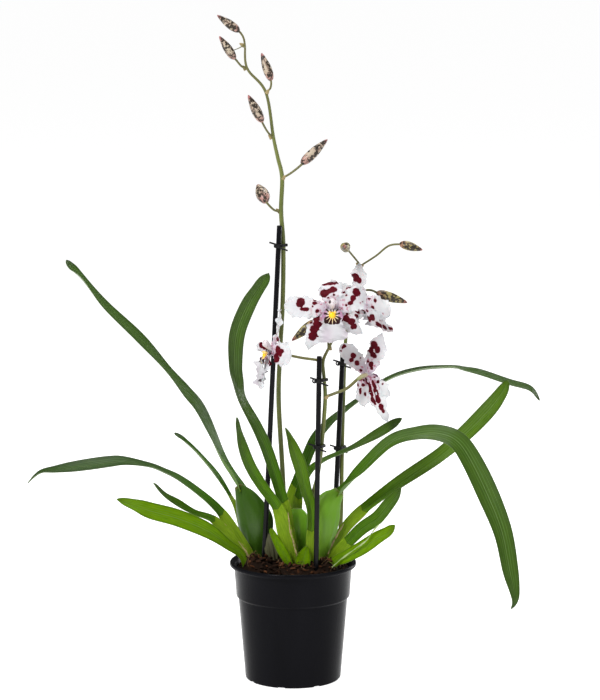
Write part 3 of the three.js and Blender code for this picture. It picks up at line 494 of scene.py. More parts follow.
clear = POT_WALL + BARK_GAP
bed_profile = [
    [ON_AXIS, POT_FLOOR + BARK_LIFT],
    [FOOT_RADIUS - clear - 2, POT_FLOOR + BARK_LIFT],
    [FOOT_RADIUS - clear, POT_FLOOR + 3],
    [STEP_RADIUS - clear - 0.4, BAND_BOTTOM - 2],
    [BAND_RADIUS - clear - 0.4, BAND_BOTTOM + 3],
    [NECK_RADIUS - clear - 0.6, BARK_EDGE],
]
bed_side = turned(bed_profile, BARK_SPOKES)
bed_radii = np.linspace(bed_profile[-1][0], ON_AXIS, BARK_RINGS + 1)[1:, None]
spokes = np.linspace(0, 2 * np.pi, BARK_SPOKES, endpoint=False)
bed_x = bed_radii * np.cos(spokes)
bed_y = bed_radii * np.sin(spokes)
bed_top = np.stack([bed_x, bed_y, bark_height(bed_x, bed_y)], -1)

bark = Finish("fir_bark", Roughness=0.9, Specular_IOR_Level=0.1)
crumb = bark.grain(420, 6, rough=0.7)
patch = bark.grain(90, 3)
dark_bark = bark.blend(crumb, (8, 5, 2), (34, 20, 12))
bark.colour(bark.fade(patch, 0.5, 0.8), dark_bark, (62, 36, 20))
bark.relief(bark.grain(300, 6, (1, 1, 3), rough=0.75), 0.0012)

build("bark_bed", [skin(np.concatenate([bed_side, bed_top]))], [bark], "bark", "bark_mix")

# %% Loose chips over the bed
CHIPS = 430
CHIP_ROWS = 5
CHIP_SIDES = 7
CHIP_SPREAD = 51.5
# From and to: each chip draws its own.
CHIP_LENGTHS = (3.2, 8.0)
CHIP_WIDTHS = (0.4, 0.75)  # shares of the length
CHIP_THICKNESSES = (1.1, 2.6)
CHIP_LIFTS = (-0.4, 2.0)  # over the bed
CHIP_BITES = (0.7, 1.15)  # how far each corner is drawn in or out
CHIP_LEAN = 0.4
GOLDEN_ANGLE = 2.4  # radians
CHIP_SEED = 3
SHADE_SEED = 4


def chip_grids(seed):
    """Flat lumps: rings of an uneven oval, wide in the middle, tilted and strewn over the bed.

    Ring i of a chip is its outline times sin(pi u)^0.35, with u from 0.06 to 0.94 along the
    chip's thickness, and each corner of the outline is drawn a little in or out.
    """
    draw = np.random.default_rng(seed)
    number = np.arange(CHIPS)
    length = draw.uniform(*CHIP_LENGTHS, CHIPS)
    width = length * draw.uniform(*CHIP_WIDTHS, CHIPS)
    thick = draw.uniform(*CHIP_THICKNESSES, CHIPS)
    radius = CHIP_SPREAD * np.sqrt((number + 0.5) / CHIPS) - length * 0.3
    turn = number * GOLDEN_ANGLE
    x0 = radius * np.cos(turn)
    y0 = radius * np.sin(turn)
    z0 = bark_height(x0, y0) + draw.uniform(*CHIP_LIFTS, CHIPS)
    u = np.linspace(0.06, 0.94, CHIP_ROWS)
    angle = np.linspace(0, 2 * np.pi, CHIP_SIDES, endpoint=False)
    bite = draw.uniform(*CHIP_BITES, (CHIPS, CHIP_ROWS, CHIP_SIDES))
    swell = (np.sin(np.pi * u) ** 0.35)[None, :, None] * bite
    long_way = 0.5 * length[:, None, None] * swell * np.cos(angle)
    wide_way = 0.5 * width[:, None, None] * swell * np.sin(angle)
    thick_way = thick[:, None, None] * (u[None, :, None] - 0.5) + 0 * swell
    shape = np.stack([long_way, wide_way, thick_way], -1)
    level = draw.normal(0, 1, (2, CHIPS))
    ahead = unit(np.stack([*level, draw.normal(0, CHIP_LEAN, CHIPS)], -1))
    up = unit(np.stack([*draw.normal(0, CHIP_LEAN, (2, CHIPS)), np.ones(CHIPS)], -1))
    aside = unit(np.cross(up, ahead))
    frames = np.stack([ahead, aside, np.cross(ahead, aside)], 1)
    tilted = np.einsum("nrca,nab->nrcb", shape, frames)
    return tilted + np.stack([x0, y0, z0], -1)[:, None, None, :]


chip_shade = np.random.default_rng(SHADE_SEED).uniform(0, 1, CHIPS)
chips = [skin(grid, shade=shade) for grid, shade in zip(chip_grids(CHIP_SEED), chip_shade)]
chip_bark = Finish("bark_chips", Roughness=0.85, Specular_IOR_Level=0.1)
splinter = chip_bark.grain(240, 5, (1, 1, 2.5), rough=0.7)
chip_dark = chip_bark.blend(splinter, (8, 5, 3), (44, 25, 14))
chip_light = chip_bark.blend(splinter, (36, 20, 11), (104, 64, 38))
chip_bark.colour(chip_bark.fade(chip_bark.mark("shade"), 0.5, 0.95), chip_dark, chip_light)
chip_bark.relief(splinter, 0.0008)
build("bark_chips", chips, [chip_bark], "bark")

# %% The roots under the bark
root_skin = mottled("root_skin", (180, 4), (92, 66, 40), (160, 132, 92), (0.0004, 500, 4), Roughness=0.8)
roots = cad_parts["rhizome_and_roots"]
roots.data.materials.clear()
roots.data.materials.append(root_skin.material)
print("roots keep their packed shape")

# %% [markdown]
# Pseudobulbs
#
# An odontonia stores water in flat oval bulbs. A young one is smooth and glossy, and an old one
# shrinks on its fibres into deep ridges. A ball could be sculpted into one. Here each is a line with
# a half width at each point, because the leaves have to meet its ends: rings of points go round the
# line, flattened front to back, with furrows that are a cosine of the angle.

# %% Rings round a line


def across(points, toward):
    """Two directions square to a line: side = toward x heading, and deep = heading x side."""
    ahead = headings(points)
    side = unit(np.cross(toward, ahead))
    return side, np.cross(ahead, side)


def tube(rows, steps, around, flat=1.0, toward=FRONT, swell=None):
    """Rings round a line of [x, y, z, radius], each flattened by flat in the depth.

    A ring point is centre + side r cos a + deep flat r sin a. swell is a function of the share
    of the length and the angle that multiplies the radius r.
    """
    places = np.linspace(0, 1, steps + 1)
    stations = line(rows, places)
    side, deep = across(stations[:, :3], toward)
    angle = np.linspace(0, 2 * np.pi, around, endpoint=False)[None, :]
    radius = stations[:, 3:4] * (swell(places[:, None], angle) if swell else np.ones_like(angle))
    out = side[:, None] * (radius * np.cos(angle))[..., None]
    out = out + deep[:, None] * (radius * flat * np.sin(angle))[..., None]
    return stations[:, None, :3] + out, places[:, None]


ring = tube([[0, 0, 0, 1], [0, 0, 4, 1], [0, 0, 8, 1]], 4, 8)[0]
print("a test tube is", ring.shape, "and its first ring is", ring[0, :2].round(2).tolist())

# %% The bulbs
BULB_FURROWS = 11
YOUNG_FURROW = 0.035
OLD_FURROW = 0.22
BULB_GRID = (60, 88)  # steps along and points around
BULBS = {
    # how flat, how light its green, and rows of x, y, z and half width
    "left": (0.54, 0.0, [
        [-34.3, 5, 95.7, 3.7], [-34.2, 5, 114.2, 6.1], [-35.1, 5, 122.9, 8.9],
        [-35.6, 5, 131.7, 12.9], [-35.1, 5, 141.4, 16.2], [-35.7, 5, 151.1, 17.1],
        [-39.8, 5, 161.7, 14.6], [-44.5, 5, 171.9, 11], [-49.2, 5, 179.6, 6.5],
        [-52.4, 5, 184.1, 3.4],
    ]),
    "right": (0.54, 0.8, [
        [25.5, -7, 95.2, 3.3], [25.5, -7, 117.5, 5.1], [26.2, -7, 126.2, 8.4],
        [26.9, -7, 134.9, 11.7], [27.8, -7, 144.5, 14.2], [29.2, -7, 155.1, 15],
        [31.6, -6, 164.5, 14], [35.8, -6, 172.2, 11.2], [40.5, -5, 177.3, 7.5],
        [43.8, -5, 181.1, 5.2],
    ]),
    "middle": (0.6, 1, [
        [7.6, 9, 94.7, 3.7], [7.1, 9, 111.3, 5.1], [6.6, 9, 125.9, 8.4], [5.2, 9, 139.5, 10.8],
        [4.7, 10, 150, 10.8], [4.2, 10, 157.2, 8], [4.2, 11, 161.4, 3.7],
    ]),
    "old": (0.7, 0.0, [
        [-18, -7, 99.6, 3.4], [-18.6, -7, 114, 6.4], [-20, -7, 124.8, 7.8], [-22, -6, 133, 6.6],
        [-24, -6, 140, 2.4],
    ]),
}


def furrows(depth):
    """One less a cosine ripple round the bulb, deepest in the middle of its height."""
    return lambda s, a: 1 - depth * np.sin(np.pi * s) * (1 - np.cos(BULB_FURROWS * a)) / 2


green_bulb = Finish("green_bulb", Roughness=0.3, Specular_IOR_Level=0.25)
streak = green_bulb.grain(70, 4, (1, 1, 0.12))
bulb_dark = green_bulb.blend(streak, (28, 58, 4), (62, 94, 24))
bulb_light = green_bulb.blend(streak, (84, 146, 14), (148, 192, 66))
bulb_tone = green_bulb.blend(green_bulb.mark("tint"), bulb_dark, bulb_light)
neck_share = green_bulb.fade(green_bulb.mark("along"), 0.965, 1, 0, 0.6)
green_bulb.colour(neck_share, bulb_tone, (104, 92, 50))
green_bulb.relief(green_bulb.math("ADD", streak, green_bulb.grain(700, 2)), 0.0002)

dry_bulb = Finish("shrivelled_bulb", Roughness=0.75)
fibre = dry_bulb.grain(130, 5, (1, 1, 0.12))
# The colour is kept dark. Part of that is the old bulb's own dry olive brown, and part is painted shade for
# where it stands behind the stake among the leaves.
dry_bulb.colour(fibre, (18, 20, 8), (92, 92, 54))
dry_bulb.relief(fibre, 0.001)

for name, (flat, light, rows) in BULBS.items():
    dry = name == "old"
    grid, share = tube(rows, *BULB_GRID, flat, swell=furrows(OLD_FURROW if dry else YOUNG_FURROW))
    finish = dry_bulb if dry else green_bulb
    slot = "old_bulb" if dry else "bulb"
    build(f"pseudobulb_{name}", [skin(grid, along=share, tint=light)], [finish], slot, f"bulb_{name}")

# %% [markdown]
# Strap leaves
#
# A leaf is one long blade, folded along its midrib. It clasps its neighbours at the foot with a
# steep fold, opens out, arches under its own weight and ends in a point. A Bezier strip with a
# bevel could give the arch, but not the fold that opens on the way. Here a midrib line carries a
# width and a turn, and a function lays the blade across it.

# %% A blade across a line
BLADE_COLUMNS = 19
EVENNESS = 0.6  # 1 spaces the columns evenly, and 0 crowds them at the margins
CREASE = 0.004  # rounds the fold along the midrib


def blade(stations, s, half, front, hand, fold, lift, rib, edge, columns=BLADE_COLUMNS):
    """A closed thin blade across a line of [x, y, z, ..., turn], as a grid of rings.

    With k from -1 to 1 across, a point of the middle sheet is
    line + side k half cos(lean) + face ((|k| - 1/2) half sin(lean) + lift(s, k)), where lean is
    fold(s). face turns from inwards, at a turn of 0, to the front, at 90. The upper and lower
    skins stand off it by half the thickness, which runs out to a thin edge.
    """
    points = stations[:, :3]
    turn = np.radians(stations[:, 4:5])
    ahead = headings(points)
    to_front = unit(front - (ahead @ front)[:, None] * ahead)
    face = np.cross(ahead, to_front) * hand * np.cos(turn) + to_front * np.sin(turn)
    side = np.cross(ahead, face)
    k = np.sin(np.linspace(-1, 1, columns) * np.pi / 2)
    k = mix(k, np.linspace(-1, 1, columns), EVENNESS)
    ring = np.r_[k, k[::-1]][None, :]
    upper = np.r_[np.ones(columns), -np.ones(columns)][None, :]
    lean = np.radians(fold(s))[:, None]
    half = np.broadcast_to(half, (len(s), ring.shape[1]))
    fold_line = np.sqrt(ring**2 + CREASE)
    rise = (fold_line - 0.5) * half * np.sin(lean) + lift(s[:, None], ring)
    tilt = lean * np.abs(ring) ** 0.3
    depth = upper * (mix(rib, edge, np.abs(ring)) / 2 * np.sqrt(1 - 0.96 * ring**6))
    sideways = ring * half * np.cos(lean) - depth * np.sign(ring) * np.sin(tilt)
    facing = rise + depth * np.cos(tilt)
    grid = points[:, None] + side[:, None] * sideways[..., None] + face[:, None] * facing[..., None]
    return grid, ring, upper


print("a leaf has", 2 * BLADE_COLUMNS, "points in each ring")

# %% The leaves' routes
# Each row is x, y, z, width and turn, from the foot to the tip. Before the rows come the side it
# grows to, 1 left and -1 right, the row where the sheath ends and the blade begins, and how fresh
# its green is, from 0 to 1.
LEAVES = {
    "left_tall": (1, 0, 0.15, [
        [-48, 5, 180, 15, 28], [-57, 6, 195, 15.5, 7], [-68, 8, 213, 16, 14],
        [-87, 13, 254, 16, 33], [-101, 16, 272, 16.5, 34], [-120, 20, 294, 17, 16],
        [-146, 27, 322, 16.5, 26], [-178, 34, 352, 16.5, 24], [-199, 41, 377, 14.5, 5],
        [-210, 44, 387, 15, 19], [-215, 46, 394, 10, 34],
    ]),
    "left_long": (1, 3, 0.1, [
        [-37, -4, 97.9, 8.4, 78], [-40.7, -5, 116.5, 10.3, 78], [-50.5, -8, 133.7, 12.2, 78],
        [-65.8, -13, 159.4, 11, 64], [-84, -22, 179, 14, 21], [-105, -30, 197, 13, 12],
        [-120, -34, 206, 13, 7], [-133, -38, 212, 13, 12], [-156, -43, 217, 14.5, 28],
        [-171, -47, 217, 15, 37], [-201, -54, 214, 13.5, 37], [-220, -58, 212, 11, 28],
        [-231, -60, 211, 8.5, 20], [-238, -62, 207, 7, 17], [-244, -63, 201, 3, 30],
    ]),
    "left_thin": (1, 3, 0.1, [
        [-44, 18, 98.4, 5.6, 60], [-45.8, 18, 122.9, 6.1, 60], [-52.4, 20, 155.5, 7, 60],
        [-60, 22, 170.7, 6.1, 40], [-74, 24, 192, 9.5, 14], [-90, 27, 211, 9.5, 13],
        [-103, 29, 223, 8.5, 12], [-113, 31, 230, 5, 28],
    ]),
    "left_low": (1, 3, 0.25, [
        [-40.6, -14, 98.4, 7.5, 78], [-44.3, -15, 119.9, 9.4, 78], [-56.3, -20, 135.5, 10.8, 78],
        [-73.4, -27, 157.2, 9.6, 56], [-92, -33, 166, 10, 31], [-107, -38, 176, 10, 30],
        [-119, -43, 185, 8.5, 21], [-129, -48, 198, 4, 40],
    ]),
    "left_lowest": (1, None, 0.85, [
        [-42, -17, 98.6, 6.6, 76], [-47.4, -19, 121.2, 7.5, 76], [-61.6, -30, 135.6, 10.8, 60],
        [-79, -42, 151, 15.5, 62], [-106, -56, 166, 17.5, 64], [-131, -69, 176, 16.5, 64],
        [-147, -77, 183, 14, 33], [-161, -83, 190, 5, 50],
    ]),
    "centre_tall": (1, 3, 0.25, [
        [2.8, -7, 97.6, 11.2, 80], [0.5, -7, 114.1, 12.2, 80], [-4.7, -8, 144.3, 12.6, 80],
        [-9.4, -9, 171.5, 12.6, 80], [-23, -12, 217, 14, 62], [-34, -14, 243, 15.5, 40],
        [-48, -17, 270, 15.5, 25], [-52, -18, 288, 16, 39], [-54, -20, 304, 16.5, 53],
        [-52, -24, 334, 17, 72], [-42, -28, 361, 16.5, 70], [-32, -31, 378, 14, 62],
        [-25, -34, 388, 13, 68], [-22, -36, 392, 10, 55],
    ]),
    "centre_left": (1, 3, 0.35, [
        [3.8, -19, 98.6, 8.4, 80], [-0.5, -19, 119.8, 11.2, 80], [-7.5, -21, 144.3, 14.5, 80],
        [-14, -23, 167.8, 12.6, 72], [-30, -24, 191, 13, 64], [-41, -27, 211, 12.5, 60],
        [-48, -30, 231, 13, 46], [-51, -32, 246, 8.5, 38], [-52, -33, 257, 4, 50],
    ]),
    "centre_upright": (1, 2, 0.5, [
        [15, -23, 98, 9, 80], [16, -23, 114, 10, 80], [17.6, -25, 146, 11, 80],
        [17, -27, 168, 12, 66], [12, -29, 187, 13, 66], [7, -31, 208, 14, 68],
        [1, -34, 226, 12, 64], [-4, -36, 240, 7.5, 47], [-7, -37, 248, 4, 50],
    ]),
    "back_long": (-1, 3, 0.15, [
        [0.8, 33, 97.8, 11.2, 78], [-2, 33, 122.4, 12.2, 78], [-1.5, 33, 159.6, 12.6, 78],
        [2.5, 34, 176, 13.5, 70], [11, 36, 197, 14, 54], [22, 43, 222, 14, 45],
        [36, 51, 237, 13, 29], [48, 56, 246, 12.5, 24], [63, 59, 257, 12.5, 15],
        [91, 61, 277, 13, 4], [120, 58, 287, 14, -3], [151, 55, 290, 12.5, -3],
        [165, 50, 288, 12.5, 15], [180, 46, 285, 12.5, 26], [206, 40, 277, 12, 26],
        [225, 34, 272, 10.5, 24], [234, 28, 262, 5, 34],
    ]),
    "back_short": (-1, 2, 0.25, [
        [3, 22, 98, 10, 74], [3, 22, 130, 10, 74], [5, 18, 168, 10, 74], [14, 10, 194, 10, 48],
        [29, 2, 209, 9, 19], [55, -4, 222, 9.5, 26], [77, -8, 235, 11, 42], [92, -10, 245, 9.5, 60],
        [102, -11, 252, 7, 56],
    ]),
    "right_arching": (-1, 0, 0.25, [
        [41, -7, 178, 14, 28], [49, -8, 187, 14, 4], [64, -12, 203, 15.5, 35],
        [91, -22, 231, 17.5, 30], [116, -32, 241, 18.5, 34], [136, -40, 243, 17.5, 60],
        [152, -46, 237, 19.5, 68], [164, -52, 221, 21, 72], [179, -60, 191, 22, 74],
        [193, -68, 156, 20, 72], [200, -74, 121, 17, 70], [204, -77, 101, 11, 60],
        [204, -79, 92, 7.5, 55], [201, -80, 86, 4, 50],
    ]),
    "right_long": (-1, 3, 0.45, [
        [30.3, -6, 100.3, 8.4, 78], [34, -5, 120.4, 10.3, 78], [47.3, 0, 141.5, 10.2, 78],
        [65.3, 7, 159.3, 12.5, 60], [99, 14, 183, 17.5, 37], [140, 21, 210, 18.5, 40],
        [165, 24, 232, 17.5, 60], [186, 25, 254, 17, 64], [198, 26, 270, 13.5, 60],
        [204, 26, 282, 10, 60],
    ]),
    "right_low": (-1, 2, 0.3, [
        [33.9, -16, 97.9, 8.4, 78], [38.1, -17, 118.4, 10.3, 78], [50.7, -22, 134.5, 13, 78],
        [64.6, -29, 150, 14.5, 66], [79, -37, 162, 15.5, 58], [89, -44, 176, 14, 52],
        [96, -50, 186, 10.5, 45], [100, -54, 195, 4.5, 45],
    ]),
    "right_lowest": (-1, None, 0.9, [
        [32, -26, 98.4, 7.5, 78], [38.5, -28, 117.1, 9.4, 78], [50, -36, 125.3, 12.6, 68],
        [64, -45, 135, 14, 60], [77, -54, 146, 14, 60], [88, -62, 154, 13, 33],
        [94, -67, 162, 5, 50],
    ]),
    "left_bract": (1, None, 1, [
        [-1.9, -25, 102, 7.5, 78], [-5.6, -25, 119.3, 9.4, 78], [-11.2, -25, 129.9, 9.8, 78],
        [-16.8, -24, 140.2, 7.5, 78], [-21.1, -23, 149.1, 4.2, 78],
    ]),
    "centre_bract": (-1, None, 1, [
        [8.5, -26, 101.3, 12.2, 80], [9.4, -26, 117.6, 15, 80], [11.3, -27, 125.5, 12.2, 80],
        [13.6, -28, 133, 3.7, 80],
    ]),
}

print(len(LEAVES), "leaves and bracts")

# %% The leaves' blades
LEAF_STEPS = 110
TIP_STEPS = 12
LEAF_RIB = 1.3
LEAF_EDGE = 0.6
LEAF_TIP = 0.05  # share of the length in which the tip closes
LEAF_WAVE = 0.5
SHEATH_THICKNESS = 3
SHEATH_FOLD = 8  # degrees, as the next two are
NECK_FOLD = 36
OPEN_FOLD = 20
OPEN_AT = 90  # millimetres from the joint at which the blade is open
JOINT_SLANT = 3
NARROWEST = 0.6
NO_JOINT = 60


def tip_places(steps, tip):
    """Shares of the length, packed closer where the tip closes."""
    closing = np.linspace(0, np.pi / 2, TIP_STEPS)[1:]
    return np.r_[np.linspace(0, 1 - tip, steps), 1 - tip * np.cos(closing)]


def joint_run(rows, joint, stations, s):
    """Each station's way from the joint in millimetres, below 0 on the sheath."""
    length = np.linalg.norm(np.diff(stations[:, :3], axis=0), axis=1).sum()
    if joint is None:
        return s * length + NO_JOINT
    nearest = np.linalg.norm(stations[:, :3] - rows[joint][:3], axis=1).argmin()
    return (s - s[nearest]) * length


def leaf_grid(name):
    """The blade of one leaf, and the way of each of its points from the joint.

    A wave lifts the margin by |k|^3 sin(17 s), the fold opens in smooth steps from the sheath on,
    and the tip closes as a quarter of an ellipse.
    """
    hand, joint, _, rows = LEAVES[name]
    s = tip_places(LEAF_STEPS, LEAF_TIP)
    stations = line(rows, s)
    run = joint_run(rows, joint, stations, s)
    closing = np.sqrt(1 - np.clip((s - 1 + LEAF_TIP) / LEAF_TIP, 0, 1) ** 2)
    half = np.maximum(stations[:, 3] * closing, NARROWEST)[:, None] / 2
    phase = sum(map(ord, name))
    swing = lambda s, k: np.sin(17 * s + phase + 1.5 * np.sign(k)) * smooth(3 * s)
    wave = lambda s, k: LEAF_WAVE * np.abs(k) ** 3 * swing(s, k)
    blade_fold = mix(NECK_FOLD, OPEN_FOLD, smooth(run / OPEN_AT))
    fold = lambda s: mix(SHEATH_FOLD, blade_fold, smooth(run / 14 + 0.5))
    rib = mix(SHEATH_THICKNESS, LEAF_RIB, smooth(run / 20 + 0.6))[:, None]
    grid, ring, upper = blade(stations, s, half, FRONT, hand, fold, wave, rib, LEAF_EDGE)
    slant = JOINT_SLANT * np.abs(ring) * (run[:, None] > -NO_JOINT)
    return grid, s[:, None], ring, upper, run[:, None] - slant


tall_grid = leaf_grid("left_tall")[0]
print("left_tall reaches", tall_grid.max(axis=(0, 1)).round(0))

# %% The leaves' finish: the blade's green
leaf = Finish("leaf_green", Roughness=0.34)
along = leaf.mark("along")
side = leaf.mark("across")
fresh = leaf.mark("tint")
run = leaf.mark("blotch")  # on a leaf, the way from the joint in millimetres
off_rib = leaf.math("ABSOLUTE", side)
where = leaf.node("CombineXYZ", {0: leaf.math("MULTIPLY", along, 5), 1: leaf.math("MULTIPLY", side, 3)})
streaks = leaf.grain(3.0, 4, where=where)
cells = leaf.grain(900, 2)

dark_green = leaf.blend(streaks, (3, 22, 4), (34, 66, 20))
bright_green = leaf.blend(streaks, (64, 112, 0), (134, 172, 2))
neck = leaf.fade(run, 0, 100, 0.7, 0)
youth = leaf.math("MAXIMUM", fresh, neck)
neck_green = leaf.blend(streaks, (22, 76, 2), (84, 140, 20))
green = leaf.blend(fresh, leaf.blend(neck, dark_green, neck_green), bright_green)
leaf.wear("Specular IOR Level", leaf.fade(youth, 0, 0.9, 0.38, 0.04))
print("the blade's green:", len(leaf.tree.nodes), "nodes")

# %% The leaves' finish: veins with a painted sheen, margin with painted shade, and sheath
# The light vein lines are partly real veins and partly a painted sheen: they are strongest down the middle of
# the blade and fade out towards the margin.
bend = leaf.math("MULTIPLY", leaf.grain(1.6, 2, where=where), 4)
vein_and_sheen = leaf.math("SINE", leaf.math("ADD", leaf.math("MULTIPLY", side, 24), bend))
middle_sheen = leaf.fade(off_rib, 0.3, 0.95, 0.34, 0)
vein_and_sheen = leaf.math("MULTIPLY", leaf.fade(vein_and_sheen, 0.3, 1), middle_sheen)
rib_line = leaf.fade(off_rib, 0.01, 0.07, 0.4, 0)
# Painted shade: the blade darkens towards its margins, standing in for the shade on the sides of the fold.
margin = leaf.fade(off_rib, 0.7, 0.96, 0, 0.4)
edge_line = leaf.fade(off_rib, 0.975, 1, 0, 0.6)
green = leaf.over(green, (vein_and_sheen, (104, 144, 72)), (rib_line, (116, 144, 84)), (margin, (20, 46, 8)),
                  (edge_line, (150, 172, 100)))

sheath = leaf.blend(streaks, (52, 100, 0), (160, 190, 44))
sheath_deep = leaf.math("MULTIPLY", leaf.fade(run, -70, -45, 1, 0), 0.45)
papery = leaf.math("MULTIPLY", leaf.fade(side, 0.84, 1), leaf.fade(leaf.grain(210, 4), 0.5, 0.62))
papery = leaf.math("MULTIPLY", papery, 0.8)
sheath = leaf.over(sheath, (sheath_deep, (92, 120, 24)), (papery, (176, 140, 104)))
scar = leaf.fade(leaf.math("ABSOLUTE", leaf.math("SUBTRACT", run, 0.2)), 0.15, 0.7, 0.55, 0)
green = leaf.over(green, (leaf.fade(run, -0.5, 0.5, 1, 0), sheath), (scar, (58, 78, 10)))
under = leaf.blend(0.45, green, (122, 150, 84))
leaf.colour(leaf.mark("shade"), green, under)
veins = leaf.math("SINE", leaf.math("MULTIPLY", side, 62))
leaf.relief(leaf.math("ADD", veins, leaf.math("ADD", streaks, cells)), 0.00014)
print("the whole leaf:", len(leaf.tree.nodes), "nodes")

# %% The leaves
YOUNG = ("left_lowest", "right_lowest")
for name, (_, _, freshness, _) in LEAVES.items():
    grid, share, ring, upper, run_mark = leaf_grid(name)
    part = skin(grid, along=share, across=ring, shade=(1 - upper) / 2, tint=freshness, blotch=run_mark)
    slot = "young_leaf" if name in YOUNG else "leaf"
    build(f"strap_leaf_{name}", [part], [leaf], slot, f"leaf_{name}")

# %% [markdown]
# Dry sheaths and fibres
#
# The margins of old sheaths dry into ragged straw-coloured ribbons, one young leaf carries a loose
# pale one, and fine dead fibres lie round the bulbs' feet. A mask with a torn outline could make
# them out of flat strips. Here a ribbon is a leaf blade whose width is drawn anew at each station,
# and a fibre is a thin bent tube, so that both stay solid from any side.

# %% Ragged ribbons and fibres
RIBBONS = {
    # rows of x, y, z, width and turn
    "centre": [
        [5, -24, 113, 1.2, 80], [3.8, -24, 121.5, 1.6, 75], [0.4, -24, 136, 1.2, 80],
        [-2.8, -23.5, 148, 1.4, 70], [-4.6, -23, 165, 0.7, 80],
    ],
    "right": [[33, -12, 122, 1, 70], [38, -10, 133, 1.8, 60], [43, -7, 142, 2, 70], [48, -3, 149, 0.7, 70]],
    "right_thread": [
        [35, -30.5, 112, 0.8, 60], [41, -33, 118.5, 1.1, 60], [49, -38, 126.3, 1, 50],
        [56, -43, 132.8, 1.2, 60], [63.4, -47.8, 139.3, 1, 50], [69, -51, 144.8, 1.2, 60],
        [72.5, -54.5, 151.3, 1.2, 70], [76.5, -57.5, 157.2, 1.1, 70], [80.5, -60.5, 162, 0.9, 80],
    ],
    "left": [
        [-40, -16, 112, 1.4, 80], [-43, -20, 124, 1.8, 70], [-47, -23, 131, 1, 80],
        [-51, -24, 137, 0.6, 80],
    ],
}
RIBBON_STEPS = 60
RIBBON_RIB = 0.35
RIBBON_EDGE = 0.25
RAGGED = (0.45, 1.35)
FIBRES = 46
FIBRE_LENGTHS = (6, 13)
FIBRE_RISES = (0.5, 4)
FIBRE_RADII = (0.16, 0.32)
FIBRE_REACH = 50  # keeps them off the pot's wall
FIBRE_FEET = [[-40, -14], [-36, -4], [-12, -22], [8, -24], [28, -14], [36, -24]]
FIBRE_GRID = (14, 6)
FIBRE_SEED = 11


def ribbon_grid(rows, seed):
    """A thin blade whose half width is multiplied by a drawn factor at each station.

    Its face is lifted by sin(21 s + 2 k) / 2, and its fold stays the same all the way.
    """
    draw = np.random.default_rng(seed)
    s = np.linspace(0, 1, RIBBON_STEPS)
    stations = line(rows, s)
    ragged = draw.uniform(*RAGGED, len(s))[:, None]
    half = stations[:, 3:4] * ragged / 2
    curl = lambda s, k: 0.5 * np.sin(21 * s + 2 * k)
    fold = lambda s: OPEN_FOLD + 0 * s
    return blade(stations, s, half, FRONT, 1, fold, curl, RIBBON_RIB, RIBBON_EDGE)[0]


def fibre_grid(i, draw):
    """A thin tube that rises beside a foot, arches over and comes down on the bark.

    Its height over the bark is 1 + rise sin(pi s), and its radius shrinks evenly with s.
    """
    foot = np.array(FIBRE_FEET[i % len(FIBRE_FEET)]) + draw.normal(0, 5, 2)
    out = unit(draw.normal(0, 1, 2)) * draw.uniform(*FIBRE_LENGTHS)
    rise = draw.uniform(*FIBRE_RISES)
    s = np.linspace(0, 1, 5)[:, None]
    spot = foot + out * s + draw.normal(0, 0.6, (5, 2))
    spot = spot * np.minimum(1, FIBRE_REACH / np.linalg.norm(spot, axis=1, keepdims=True))
    height = bark_height(spot[:, :1], spot[:, 1:]) + 1 + rise * np.sin(np.pi * s)
    radius = draw.uniform(*FIBRE_RADII) * (1.1 - 0.7 * s)
    return tube(np.hstack([spot, height, radius]), *FIBRE_GRID, toward=UP)[0]


dry_paper = mottled("dry_paper", (260, 4), (92, 72, 34), (204, 186, 134), (0.0002, 800, 2), Roughness=0.8)
pale_margin = mottled("pale_leaf_margin", (200, 3), (112, 140, 70), (190, 204, 150), Roughness=0.6)
dead_fibre = mottled("dead_fibre", (160, 3), (52, 34, 18), (138, 106, 66), Roughness=0.8)
for seed, (name, rows) in enumerate(RIBBONS.items()):
    finish = pale_margin if name == "right_thread" else dry_paper
    build(f"dry_ribbon_{name}", [skin(ribbon_grid(rows, seed))], [finish], "old_bulb")
fibre_draw = np.random.default_rng(FIBRE_SEED)
fibres = [skin(fibre_grid(i, fibre_draw)) for i in range(FIBRES)]
build("dry_fibres", fibres, [dead_fibre], "old_bulb")

# %% [markdown]
# Stakes and ties
#
# Each spike is held up by a round black plastic stake, and black twist ties hold the stem to it. A
# curve with a bevel would do for both. Here the stake is a plain tube with a rounded head, and a tie
# is a wire that goes twice round stake and stem, worked out from their own places at its height. Its
# two ends stand off to the left and the right.

# %% The stakes
STAKES = {
    # foot and head
    "left": [[-31.5, -10, 24], [-12.5, 1, 432]],
    "centre": [[20.5, -36.5, 40], [24.5, -31, 314]],
    "right": [[34, 20, 24], [47.3, 40, 306]],
}
STAKE_RADIUS = 2.4
STAKE_POINT = 5
STAKE_BEVEL = 0.8
STAKE_SIDES = 28

black_stake = mottled("black_stake_plastic", (70, 3), (4, 4, 6), (16, 15, 19),
                      (0.0001, 260, 3, (1, 1, 0.1)), Roughness=0.3, IOR=1.25)


def stake_at(name, height):
    """The middle of a stake at a height."""
    foot, head = np.array(STAKES[name], float)
    return foot + (head - foot) * (height - foot[2]) / (head[2] - foot[2])


def rings_at(rows, around, toward=FRONT):
    """Rings of centre + radius (side cos a + deep sin a) at the given rows, to keep corners."""
    rows = np.array(rows, float)
    side, deep = across(rows[:, :3], toward)
    angle = np.linspace(0, 2 * np.pi, around, endpoint=False)[None, :, None]
    radius = rows[:, 3][:, None, None]
    return rows[:, None, :3] + radius * (side[:, None] * np.cos(angle) + deep[:, None] * np.sin(angle))


